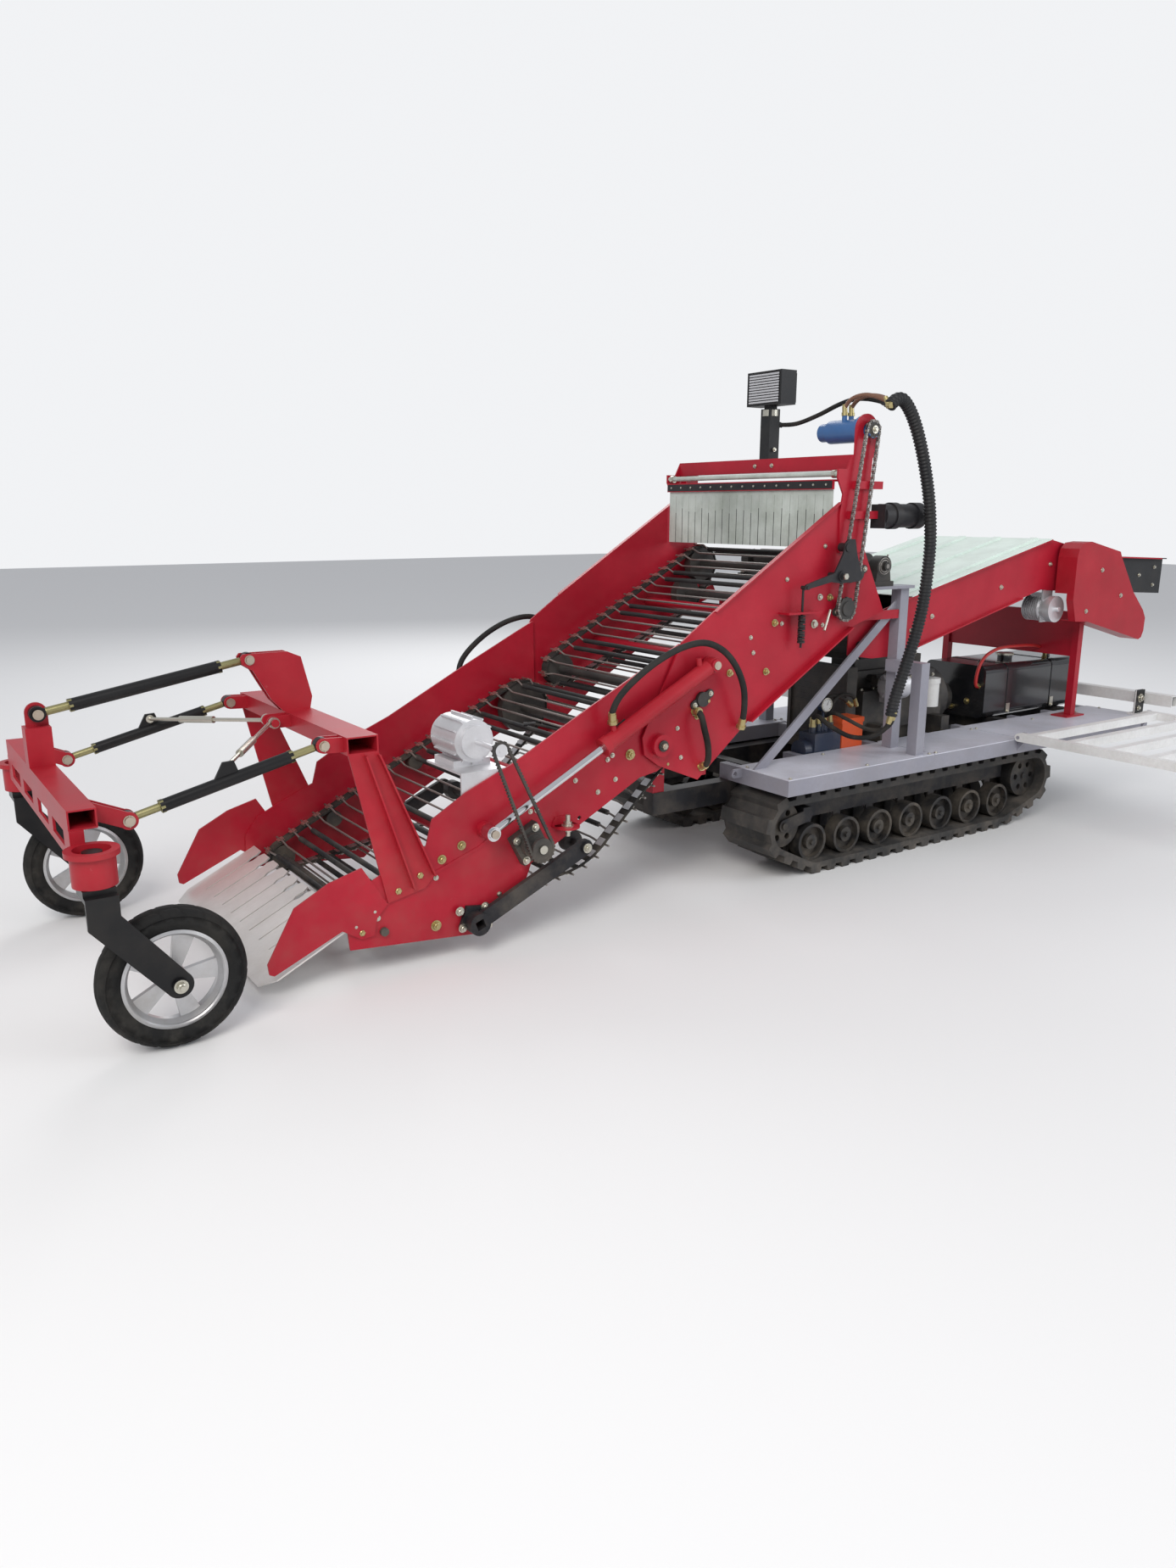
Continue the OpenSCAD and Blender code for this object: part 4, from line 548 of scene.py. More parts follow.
def web(loop, name, body, node, phase):
    """The rods of a web, two of every five wound with a spring, and the plates that clamp them."""
    n = int(loop.len / ROD_PITCH)
    step = loop.len / n
    plain, wound, clips, plates = Build(), Build(), Build(), Build()
    line = rod_line()
    spring_y = FLAT_Y - 0.01
    spring_h = BELT_T + ROD_T / 2 - CRANK_DROP
    turns = int(2 * spring_y / SPRING_PITCH)
    radii = [SPRING_LOW if k % 2 else SPRING_HIGH for k in range(2 * turns + 1)]
    for i in range(n):
        rod = Rod(loop, (i + 0.5) * step)
        plain.tube([rod.at(y, h) for y, h in line], ROD_T / 2 * 0.98, 8)
        if (i + phase) % 5 < 2:
            path = [rod.at(-spring_y + spring_y * k / turns, spring_h) for k in range(2 * turns + 1)]
            wound.tube(path, SPRING_LOW, 8, True, radii)
        for s in SIDES:
            y = s * BELT_Y
            clips.box(rod.at(y, BELT_T + ROD_T * 0.80), CLIP_SIZE, rod.turn)
            plates.box(rod.at(y, -0.0008), PLATE_SIZE, rod.turn)
            for e in (-0.010, 0.010):
                plates.box(rod.at(y + e, -0.0020), RIVET_SIZE, rod.turn)
            for e in (-0.009, 0.009):
                clips.box(rod.at(y, BELT_T + 0.001) + rod.along * e, STRAP_SIZE, rod.turn)
    rods = plain.obj(name + "_rods_round", "steel", body, "steel")
    wound.obj(name + "_rods_wound", "studs", body, "rubber")
    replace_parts(rods, node)
    clips.obj(name + "_belt_clips", "zinc", body, "zinc")
    plates.obj(name + "_belt_plates", "rim", body, "zinc")


AXLE = (-2.72, 0.22)
WHEEL_Y = 0.67
TYRE_R = 0.22
BEAD_R = 0.155
TYRE_HALF = 0.0475
TREAD_BAND = 0.030
TREAD_DEPTH = 0.0045
TYRE_STEPS = 252


def tyre_profile():
    """The tyre's section from bead to bead, as (radius, y)."""
    h = TYRE_HALF
    side = [(BEAD_R, h - 0.014), (BEAD_R + 0.014, h - 0.004), (BEAD_R + 0.036, h)]
    crown = []
    for k in range(19):
        u = -1 + k / 9
        crown.append((TYRE_R - 0.022 * abs(u) ** 2.6 - 0.008 * abs(u) ** 8, u * (h - 0.001)))
    return [(r, -y) for r, y in side] + crown + side[::-1]


def in_groove(step, u):
    """Slanted side grooves and two lines round the middle, at u from -1 to 1 across the tyre."""
    slanted = (step + abs(u) * 9) % 12 < 2.2 and abs(u) > 0.12
    return slanted or abs(abs(u) - 0.33) < 0.06


def tyre(side):
    """A small road tyre with slanted grooves, inside the CAD tyre."""
    cx, cz = AXLE
    cy = side * WHEEL_Y
    prof = tyre_profile()
    m = len(prof)
    verts = []
    for i in range(TYRE_STEPS):
        a = 2 * math.pi * i / TYRE_STEPS
        for r, y in prof:
            if r > TYRE_R - TREAD_BAND and in_groove(i, y / TYRE_HALF):
                r -= TREAD_DEPTH
            verts.append((cx + r * math.cos(a), cy + y, cz + r * math.sin(a)))
    faces = []
    for i in range(TYRE_STEPS):
        for j in range(m - 1):
            a, b = i * m + j, ((i + 1) % TYRE_STEPS) * m + j
            faces.append((a, b, b + 1, a + 1))
    b = Build()
    b.add(verts, faces, True)
    for s in SIDES:
        b.tube(circle(cx, cy + s * (TYRE_HALF - 0.0012), cz, BEAD_R + 0.045, 72), 0.0014, 6, False)
    name = "left" if side < 0 else "right"
    ob = b.obj(name + "_tyre_tread", "tyre", name + "_wheel", "tyre")
    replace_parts(ob, name + "_tyre")


CONDUIT_Y = -0.68
CONDUIT_MM = (
    (262, 1990), (300, 2015), (345, 2012), (400, 1960), (455, 1870), (510, 1740), (552, 1600), (575, 1450),
    (572, 1300), (555, 1160), (522, 1040), (480, 930), (440, 830), (410, 750), (397, 690))
RIB_PITCH = 0.0155
RIB_SHARE = 0.62
RIB_R = 0.0228
RIB_RISE = 0.0046


def rib_radius(s):
    """The corrugated conduit's radius at the length s."""
    phase = (s / RIB_PITCH) % 1.0
    if phase >= RIB_SHARE:
        return RIB_R
    return RIB_R + RIB_RISE * max(0.0, math.sin(math.pi * min(1.0, phase / RIB_SHARE))) ** 0.5


def corrugated():
    """The corrugated conduit in place of the plain CAD hose."""
    pts = [(x / 1000, CONDUIT_Y, z / 1000) for x, z in CONDUIT_MM]
    length = smooth_path(pts, 2)[1]
    n = int(length / RIB_PITCH * 6)
    path = smooth_path(pts, n + 1)[0]
    b = Build()
    b.tube(path, RIB_R, 20, True, [rib_radius(length * k / n) for k in range(n + 1)])
    ob = b.obj("conduit_corrugated", "plastic", "chassis", "black_plastic")
    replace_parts(ob, "corrugated_hose")


# Hoses and cables
def hose(name, pts, d, mat, body, slot, sleeve=0.0, ends=("gold", "zinc"), far_body=None):
    """A free hose along a smooth line, with a crimped ferrule on each end and a wound sleeve if asked for.
    One with a far body is left on no body, with its first ferrule riding on the body and its last on the far
    body."""
    path, length = smooth_path(pts, int(2 * 24 * len(pts)) if sleeve else 60)
    radii = [d / 2 * (1.0 if i % 2 else 1.0 - sleeve) for i in range(len(path))]
    b = Build()
    b.tube(path, d / 2, 14, True, radii)
    ob = b.obj(name, mat, None if far_body else body, slot)
    fittings = []
    b = Build()
    for a, c in ((path[0], path[3]), (path[-1], path[-4])):
        t = (c - a).normalized()
        b.cyl(a - t * 0.004, a + t * 0.026, d * 0.62, 14)
        b.cyl(a + t * 0.026, a + t * 0.034, d * 0.55, 14)
        b.cyl(a - t * 0.012, a + t * 0.002, d * 0.8, 6)
        if far_body and not fittings:
            fittings.append(b.obj(name + "_fitting", ends[0], body, ends[1]))
            b = Build()
    fittings.append(b.obj(name + "_fittings", ends[0], far_body or body, ends[1]))
    if far_body:
        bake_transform(ob)


LIFT_HOSE = (
    (-1.063, -0.607, 0.812), (-1.066, -0.612, 0.850), (-1.040, -0.622, 0.905), (-0.975, -0.632, 0.965),
    (-0.880, -0.640, 1.025), (-0.770, -0.644, 1.068), (-0.660, -0.645, 1.080), (-0.565, -0.645, 1.045),
    (-0.490, -0.642, 0.975), (-0.440, -0.635, 0.885), (-0.415, -0.615, 0.790), (-0.407, -0.592, 0.722))
FUEL_HOSE = (
    (1.6695, -0.190, 0.650), (1.648, -0.192, 0.651), (1.632, -0.196, 0.675), (1.634, -0.200, 0.730),
    (1.655, -0.205, 0.785), (1.705, -0.208, 0.825), (1.800, -0.210, 0.850), (1.950, -0.210, 0.852),
    (2.080, -0.208, 0.846), (2.190, -0.200, 0.828), (2.250, -0.185, 0.800), (2.262, -0.175, 0.768))
LAMP_CABLE = (
    (0.235, -0.040, 1.955), (0.262, -0.060, 1.950), (0.300, -0.120, 1.955), (0.325, -0.220, 1.985),
    (0.330, -0.330, 2.020), (0.318, -0.430, 2.035), (0.300, -0.520, 2.030), (0.285, -0.600, 2.015),
    (0.272, -0.655, 2.000))
PIVOT_HOSE = (
    (-0.633, -0.5665, 0.800), (-0.634, -0.590, 0.800), (-0.634, -0.612, 0.780), (-0.628, -0.622, 0.735),
    (-0.612, -0.624, 0.680), (-0.600, -0.618, 0.625), (-0.594, -0.600, 0.585), (-0.592, -0.5665, 0.570))
PRESSURE_HOSE = (
    (0.325, -0.280, 0.598), (0.324, -0.284, 0.628), (0.308, -0.330, 0.645), (0.302, -0.420, 0.612),
    (0.325, -0.520, 0.580), (0.362, -0.605, 0.590), (0.388, -0.662, 0.635), (0.397, -0.680, 0.690))
RETURN_HOSE = (
    (0.405, -0.280, 0.598), (0.404, -0.286, 0.630), (0.392, -0.350, 0.655), (0.385, -0.440, 0.640),
    (0.400, -0.540, 0.612), (0.416, -0.620, 0.618), (0.416, -0.668, 0.655), (0.404, -0.690, 0.705))
SHAKER_CABLE = (
    (-1.330, -0.430, 0.800), (-1.315, -0.438, 0.802), (-1.270, -0.470, 0.790), (-1.210, -0.505, 0.770),
    (-1.150, -0.528, 0.755), (-1.090, -0.540, 0.755), (-1.030, -0.545, 0.768), (-0.975, -0.546, 0.790))
GLAND = ("plastic", "black_plastic")


def lift_hoses():
    """From the cylinders' ports over to the conveyor's side plates, with one ferrule riding on the lift
    barrels and the other on the chassis.
    """
    for name, side in (("lift_hose_near", 1), ("lift_hose_far", -1)):
        hose(name, [(x, side * y, z) for x, y, z in LIFT_HOSE], 0.026, "rubber", "lift_barrel_pair", "rubber",
             sleeve=0.10, far_body="chassis")


def motor_hoses():
    """Two hoses that loop from the blue motor's ports to the head of the conduit."""
    for k, x in enumerate((0.242, 0.282)):
        pts = [(x, -0.455, 1.975), (x, -0.457, 2.000), (x + 0.004, -0.490, 2.030), (x + 0.006, -0.550, 2.040),
               (x + 0.012, -0.610, 2.030), (0.262 + 0.010 * k, -0.660, 2.010),
               (0.262, -0.672 - 0.012 * k, 1.996)]
        hose("motor_hose_%d" % (k + 1), pts, 0.018, "hosebrown", "chassis", "rubber")


def pump_hoses():
    """Two hoses from the valve block back to the engine's pump."""
    for k, x in enumerate((0.365, 0.445)):
        pts = [(x, -0.280, 0.598), (x, -0.276, 0.640), (x + 0.03, -0.262, 0.690), (x + 0.10, -0.250, 0.715),
               (x + 0.18, -0.245, 0.700), (x + 0.25 - 0.04 * k, -0.240, 0.66)]
        hose("pump_hose_%d" % (k + 1), pts, 0.018, "rubber", "chassis", "rubber")


def hoses():
    lift_hoses()
    hose("fuel_return_hose", FUEL_HOSE, 0.018, "redhose", "chassis", "black_plastic")
    hose("lamp_cable", LAMP_CABLE, 0.020, "rubber", "chassis", "rubber", sleeve=0.10,
         ends=GLAND)
    motor_hoses()
    hose("pivot_hose_near", PIVOT_HOSE, 0.026, "rubber", "chassis", "rubber", sleeve=0.12)
    hose("pressure_hose", PRESSURE_HOSE, 0.022, "rubber", "chassis", "rubber", sleeve=0.12)
    hose("return_hose", RETURN_HOSE, 0.018, "rubber", "chassis", "rubber")
    pump_hoses()
    hose("shaker_cable", SHAKER_CABLE, 0.010, "rubber", "front_section", "rubber", ends=GLAND)


# Chains
CHAIN_Y = -0.600
CHAIN_PITCH = 0.0254
LINK_OFFSET = 0.003
LINK_SHAPE = ((-0.33, 0.0105), (0, 0.0085), (0.33, 0.0105))
HEAD_SHAFT = (0.160, 1.168)
MOTOR_SHAFT = (0.262, 1.900)
DRIVE = Loop([(*HEAD_SHAFT, 0.048), (*MOTOR_SHAFT, 0.034)])
SHAKER_SHAFT = (-1.411, 0.386)
SHAKER = Loop([(*SHAKER_SHAFT, 0.042), (-1.575, 0.770, 0.024)])
SHAKER_PITCH = 0.0127


def drive_chain():
    """Waisted link plates and rollers. Every second link is the narrow one."""
    n = int(DRIVE.len / CHAIN_PITCH)
    step = DRIVE.len / n
    width = 0.006
    b = Build()
    for i in range(n):
        x, z = DRIVE.at((i + 0.5) * step, LINK_OFFSET)[0]
        p = Vector((x, CHAIN_Y, z))
        b.cyl(p - Y_AXIS * (width + 0.002), p + Y_AXIS * (width + 0.002), 0.0052, 10)
        x, z = DRIVE.at((i + 1.5) * step, LINK_OFFSET)[0]
        q = Vector((x, CHAIN_Y, z))
        w = width - 0.0015 if i % 2 else width
        length = (q - p).length
        d = (q - p).normalized()
        turn = Matrix((d, Y_AXIS, Y_AXIS.cross(d))).transposed()
        for s in SIDES:
            c = (p + q) / 2 + Vector((0, s * w, 0))
            for e, h in LINK_SHAPE:
                b.box(c + d * length * e, (length * 0.46, 0.0014, h), turn)
    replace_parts(b.obj("drive_chain_links", "steel", "chassis", "steel"), "drive_chain")


def gear(b, c, y0, y1, r, teeth):
    """A sprocket's toothed disc about c."""
    pts = []
    for i in range(teeth):
        for e, rr in ((-0.32, r - 0.006), (-0.14, r + 0.001), (0.14, r + 0.001), (0.32, r - 0.006)):
            a = 2 * math.pi * (i + e) / teeth
            pts.append((c[0] + rr * math.cos(a), c[1] + rr * math.sin(a)))
    b.slab(pts, y0, y1)


def chains():
    """The drive chain, its two sprockets and the rollers of the shaker's chain."""
    drive_chain()
    b = Build()
    gear(b, HEAD_SHAFT, CHAIN_Y - 0.0056, CHAIN_Y + 0.0056, 0.0495, 12)
    gear(b, MOTOR_SHAFT, CHAIN_Y - 0.0056, CHAIN_Y + 0.0056, 0.0355, 9)
    b.obj("drive_chain_sprockets", "iron", "chassis", "steel")
    b = Build()
    n = int(SHAKER.len / SHAKER_PITCH)
    for i in range(n):
        x, z = SHAKER.at((i + 0.5) * SHAKER.len / n, 0.0075)[0]
        b.cyl((x, -0.6685, z), (x, -0.6555, z), 0.0042, 8)
    b.obj("shaker_chain_rollers", "iron", "front_section", "steel")


# Bolts and folds of the side plates
FRONT_BOLT_Y = 0.5505
FRONT_SCREW_Y = 0.5502
REAR_BOLT_Y = 0.5655
FLANGE_BOLT_Y = 0.574
UNLOAD_BOLT_Y = 0.4027
CHUTE_BOLT_Y = 0.3967
GUARD_BOLT_Y = -0.5302
DECK_TOP = 0.4742
BEARING_SHELF = 1.2642
FRONT_GOLD = (
    (-1.758, 0.38, 0.011), (-1.847, 0.34, 0.011), (-1.931, 0.299, 0.011), (-1.679, 0.418, 0.011),
    (-2.07, 0.175, 0.010), (-1.789, 0.139, 0.013), (-0.939, 0.658, 0.014), (-0.763, 0.60, 0.010))
FRONT_SCREWS = (
    (-1.392, 0.499), (-1.365, 0.5), (-1.193, 0.589), (-1.045, 0.651), (-1.023, 0.665), (-1.008, 0.569),
    (-1.09, 0.53), (-1.529, 0.206), (-2.02, 0.241), (-2.008, 0.213), (-2.09, 0.2), (-1.783, 0.317))
SEAM = (
    (-2.116, 0.262), (-2.113, 0.214), (-1.979, 0.262), (-1.607, 0.392), (-1.406, 0.512), (-0.905, 0.742),
    (-0.905, 0.752), (-1.41, 0.524), (-1.61, 0.404), (-1.98, 0.274))
REAR_GOLD = (
    (-0.574, 0.837), (-0.620, 0.780), (-0.456, 0.938), (-0.258, 0.928), (0.093, 1.216), (-0.22, 1.126))
REAR_SCREWS = (
    (-0.349, 1.074), (-0.180, 1.121), (-0.332, 1.011), (0.058, 1.102), (-0.72, 0.74), (-0.70, 0.62),
    (-0.16, 1.30), (0.05, 1.43))
BEARING_FLANGES = ((0.25, 1.31, 0.04), (-0.6, 0.845, 0.04), (*HEAD_SHAFT, 0.03))
UNLOAD_BOLTS = ((1.488, 1.198), (0.97, 1.079), (1.886, 1.303), (0.871, 1.077), (0.825, 1.018), (2.20, 1.25))
GUARD_BOLTS = ((2.16, 1.27), (2.36, 1.13), (2.05, 1.06))
DECK_BOLT_XS = (-0.17, 0.30, 0.72, 0.765, 1.38, 1.42, 1.9, 2.3, 2.53)
CHUTE_BOLTS = ((2.45, 1.27), (2.60, 1.24), (2.75, 1.22), (2.90, 1.26), (2.90, 1.16), (2.52, 1.18))


def front_bolts():
    b = Build()
    for x, z, r in FRONT_GOLD:
        b.side_bolts([(x, z)], FRONT_BOLT_Y, r, r * 0.8, True, 0.006)
    b.obj("front_plate_bolts", "gold", "front_section", "zinc")
    b = Build()
    b.side_bolts(FRONT_SCREWS, FRONT_SCREW_Y, 0.0065, 0.005)
    b.obj("front_plate_screws", "zinc", "front_section", "zinc")


def seam_fold():
    """The upper side plate overlaps the lower one along a folded seam."""
    b = Build()
    b.both_slabs(SEAM, 0.5500, 0.5522)
    b.obj("front_seam_fold", "red", "front_section", "red_paint")


def rear_bolts():
    """Bolts on the rear side plates, the bearing flanges, the transfer conveyor and the decks."""
    gold, zinc = Build(), Build()
    gold.side_bolts(REAR_GOLD, REAR_BOLT_Y, 0.010, 0.009, True, 0.007)
    zinc.side_bolts(REAR_SCREWS, REAR_BOLT_Y, 0.006, 0.005)
    for x, z, r in BEARING_FLANGES:
        for e in SIDES:
            zinc.side_bolts([(x + e * r, z + e * r / 2)], FLANGE_BOLT_Y, 0.007, 0.006)
    gold.obj("rear_plate_bolts", "gold", "chassis", "zinc")
    zinc.side_bolts(UNLOAD_BOLTS, UNLOAD_BOLT_Y, 0.008, 0.006, True, 0.004)
    for x, z in GUARD_BOLTS:
        zinc.bolt((x, GUARD_BOLT_Y, z), (0, -1, 0), 0.008, 0.005)
    for x in DECK_BOLT_XS:
        for y in (0.648, 0.38):
            for s in SIDES:
                zinc.bolt((x, s * y, DECK_TOP), (0, 0, 1), 0.006, 0.003)
    for x in (0.495, 0.605):
        for s in SIDES:
            zinc.bolt((x, s * 0.43, BEARING_SHELF), (0, 0, 1), 0.009, 0.007, True, 0.008)
    zinc.obj("small_bolts", "zinc", "chassis", "zinc")


def chute_strip():
    """The red edge strips and the bolts of the discharge chute."""
    b = Build()
    b.both_slabs([(2.42, 1.3320), (2.93, 1.3117), (2.93, 1.3045), (2.42, 1.3248)], 0.4206, 0.4218)
    b.obj("chute_strip", "red", "chassis", "red_paint")
    b = Build()
    for s in SIDES:
        for x, z in CHUTE_BOLTS:
            b.bolt((x, s * CHUTE_BOLT_Y, z), (0, s, 0), 0.007, 0.006)
    b.obj("chute_bolts", "zinc", "chassis", "zinc")


# Hitch links
LOW_PIN = Vector((-2.155, 0, 0.830))
TOP_PIN = Vector((-2.200, 0.075, 1.050))
BEAM_LOW_PIN = Vector((-2.770, 0, 0.675))
BEAM_TOP_PIN = Vector((-2.905, 0.075, 0.922))
LINK_Y = 0.5
LINK_HALF = 0.0265
THREAD_PITCH = 0.0016
THREAD_DEPTH = 0.0009
LINK_LUG = 0.027
LINK_THREAD = 0.099
LINK_NUT = 0.112


def thread(b, p, q, r):
    """A threaded rod from p to q."""
    n = int((q - p).length / THREAD_PITCH)
    path = [p.lerp(q, i / n) for i in range(n + 1)]
    b.tube(path, r, 12, True, [r + (THREAD_DEPTH if i % 2 else 0) for i in range(n + 1)])


def link_threads(b, p, q, r, nut):
    """The threads and lock nuts at both ends of a link from pin p to pin q."""
    d = (q - p).normalized()
    thread(b, q - d * LINK_THREAD, q - d * LINK_LUG, r)
    b.cyl(q - d * LINK_NUT, q - d * LINK_THREAD, nut, 6)
    thread(b, p + d * LINK_LUG, p + d * LINK_THREAD, r)
    b.cyl(p + d * LINK_THREAD, p + d * LINK_NUT, nut, 6)


def low_pin_heads(b, p):
    """Washers, heads and split pins on the four ends of the lower links' pins at p."""
    for s in SIDES:
        for e in SIDES:
            y = s * LINK_Y + e * LINK_HALF
            b.cyl((p.x, y, p.z), (p.x, y + e * 0.0025, p.z), 0.018, 20)
            b.cyl((p.x, y + e * 0.005, p.z), (p.x, y + e * 0.0085, p.z), 0.0135, 16)
            b.box((p.x, y + e * 0.005, p.z), (0.003, 0.0022, 0.038))


def axle_nuts():
    """Nuts on the caster arms, which both stand on the near side of their wheels."""
    y_face = TYRE_HALF + 0.022 + 0.010 + 0.014
    x, z = AXLE
    for name, y in (("left", -WHEEL_Y), ("right", WHEEL_Y)):
        b = Build()
        y -= y_face
        b.cyl((x, y, z), (x, y - 0.004, z), 0.021, 24)
        b.bolt((x, y - 0.004, z), (0, -1, 0), 0.013, 0.010, False, 0.008)
        b.obj(name + "_axle_nut", "zinc", name + "_caster_fork", "zinc")


def link_ends():
    """Threads and lock nuts of the hitch links, and the heads of their pins."""
    low, top, pins = Build(), Build(), Build()
    for s in SIDES:
        y = Vector((0, s * LINK_Y, 0))
        link_threads(low, LOW_PIN + y, BEAM_LOW_PIN + y, 0.0124, 0.022)
    link_threads(top, TOP_PIN, BEAM_TOP_PIN, 0.0136, 0.024)
    low.obj("lower_link_threads", "olive", "lower_link_pair", "zinc")
    top.obj("top_link_threads", "olive", "top_link_arm", "zinc")
    low_pin_heads(pins, LOW_PIN)
    x, z = TOP_PIN.x, TOP_PIN.z
    for y, e in ((0.042, -1), (0.108, 1)):
        pins.cyl((x, y - e * 0.006, z), (x, y - e * 0.003, z), 0.018, 20)
        pins.cyl((x, y - e * 0.001, z), (x, y + e * 0.002, z), 0.0135, 16)
    pins.obj("arch_pin_heads", "pin", "front_section", "zinc")
    pins = Build()
    low_pin_heads(pins, BEAM_LOW_PIN)
    x, z = BEAM_TOP_PIN.x, BEAM_TOP_PIN.z
    for y, e in ((0.048, -1), (0.104, 1)):
        pins.cyl((x, y, z), (x, y + e * 0.003, z), 0.017, 20)
        pins.cyl((x, y + e * 0.003, z), (x, y + e * 0.006, z), 0.0125, 6)
    pins.obj("beam_pin_heads", "pin", "gauge_beam", "zinc")
    axle_nuts()


# Top frame
CURTAIN_HALF = 0.545
CURTAIN_STRIPS = 22
RIVETS = 15


def curtain():
    """Thin black slabs in the curtain's slits, painted shade for the dark gaps seen through them; the
    curtain's clamping strip and the rivets in it.
    """
    b = Build()
    strip = 2 * CURTAIN_HALF / CURTAIN_STRIPS
    # Painted shade: a thin black slab over each slit stands for the dark gap seen through it.
    for i in range(1, CURTAIN_STRIPS):
        y = -CURTAIN_HALF + i * strip
        top = 1.572 + 0.012 * math.sin(i * 2.3)
        b.slab([(0.0996, 1.4205), (0.1001, 1.4205), (0.1001, top), (0.0996, top)], y - 0.0016, y + 0.0016)
    # The black slabs of the slits are painted shade, not a part of the curtain.
    b.obj("curtain_slit_shade", "black", "chassis", "rubber")
    b = Build()
    b.box((0.0889, 0, 1.6795), (0.0016, 1.100, 0.031))
    b.obj("curtain_strip", "black", "chassis", "black_paint")
    b = Build()
    for i in range(RIVETS):
        b.bolt((0.0881, -0.518 + i * 0.074, 1.6795), (-1, 0, 0), 0.0048, 0.0028, False)
    b.both_cyl(0.114, 1.722, 0.530, 0.548, 0.017, 20)
    b.obj("curtain_rivets", "zinc", "chassis", "zinc")


def motor_shaft_end():
    x, z = MOTOR_SHAFT
    b = Build()
    b.cyl((x, CHAIN_Y - 0.0056, z), (x, CHAIN_Y - 0.0130, z), 0.0165, 20)
    b.bolt((x, CHAIN_Y - 0.0130, z), (0, -1, 0), 0.008, 0.006)
    b.obj("motor_shaft_end", "zinc", "chassis", "zinc")


def lamp():
    """The work lamp's louvres, and the clamp and bolts of its post."""
    y = -0.04
    b = Build()
    for i in range(11):
        b.box((0.1585, y, 2.045 + i * 0.0115), (0.003, 0.190, 0.0075))
    b.obj("lamp_louvres", "alloy", "chassis", "cast_alloy")
    b = Build()
    b.cyl((0.205, y, 1.985), (0.205, y, 2.012), 0.036, 24)
    b.bolt((0.2, -0.078, 1.84), (0, -1, 0), 0.006, 0.006)
    for s in SIDES:
        b.bolt((0.174, y + s * 0.055, 1.77), (-1, 0, 0), 0.006, 0.006)
    b.obj("lamp_clamp", "zinc", "chassis", "zinc")


def tensioner():
    """The chain tensioner's coil spring and bolts."""
    turns, steps, r = 11, 14, 0.0135
    pts = []
    for i in range(turns * steps + 1):
        a = 2 * math.pi * i / steps
        pts.append((-0.105 + r * math.cos(a), -0.606 + r * math.sin(a), 1.148 - 0.100 * i / (turns * steps)))
    b = Build()
    b.tube(pts, 0.0026, 6)
    b.obj("tensioner_coil", "black", "chassis", "black_paint")
    b = Build()
    b.cyl((0.088, -0.578, 1.164), (0.035, -0.600, 1.083), 0.006, 12)
    b.bolt((0.008, -0.566, 1.109), (0, -1, 0), 0.012, 0.01)
    b.bolt((0.034, -0.566, 1.220), (0, -1, 0), 0.009, 0.008)
    b.bolt((0.087, -0.654, 1.308), (0, -1, 0), 0.012, 0.008, False)
    b.obj("tensioner_bolts", "zinc", "chassis", "zinc")


# Pins and brackets of the front section
ROD_PIN = (-1.589, 0.464)
BARREL_PIN = (-0.585, 0.986)
FRONT_PIVOT = (-0.808, 0.683)
ARM_PIN = (-1.174, 0.334)
ARM_FLANGE_BOLTS = ((-1.700, 0.178), (-1.597, 0.176), (-1.585, 0.105), (-1.690, 0.112))
GEARBOX_BOLTS = ((0.020, 0.060), (-0.060, 0.020), (0.060, -0.020), (-0.020, -0.060))
STOP_X = -1.252
STOP_Z = 0.4310


def joint_pins():
    """Pin ends and bolts of the front section, the lift rods and the lift barrels."""
    zinc, rods = Build(), Build()
    for s in SIDES:
        for x, z in ARM_FLANGE_BOLTS:
            zinc.bolt((x, s * 0.5642, z), (0, s, 0), 0.011, 0.009, True, 0.007)
        x, z = ARM_PIN
        zinc.cyl((x, s * 0.6042, z), (x, s * 0.6075, z), 0.019, 20)
        zinc.bolt((x, s * 0.6075, z), (0, s, 0), 0.012, 0.008, False, 0.006)
        x, z = ROD_PIN
        rods.cyl((x, s * 0.6402, z), (x, s * 0.6440, z), 0.0155, 20)
    x, z = SHAKER_SHAFT
    for dx, dz in GEARBOX_BOLTS:
        zinc.bolt((x + dx, -0.5842, z + dz), (0, -1, 0), 0.010, 0.008)
    zinc.cyl((x, -0.6702, z), (x, -0.6760, z), 0.016, 20)
    zinc.obj("front_pins", "zinc", "front_section", "zinc")
    rods.obj("lift_rod_pins", "pin", "lift_rod_pair", "zinc")
    b = Build()
    for s in SIDES:
        x, z = BARREL_PIN
        b.cyl((x, s * 0.6402, z), (x, s * 0.6450, z), 0.0165, 20)
        b.cyl((x, s * 0.6450, z), (x, s * 0.6462, z), 0.0085, 16)
        x, z = FRONT_PIVOT
        b.bolt((x, s * 0.5972, z), (0, s, 0), 0.012, 0.009, False, 0.004)
    b.obj("barrel_pins", "pin", "chassis", "zinc")


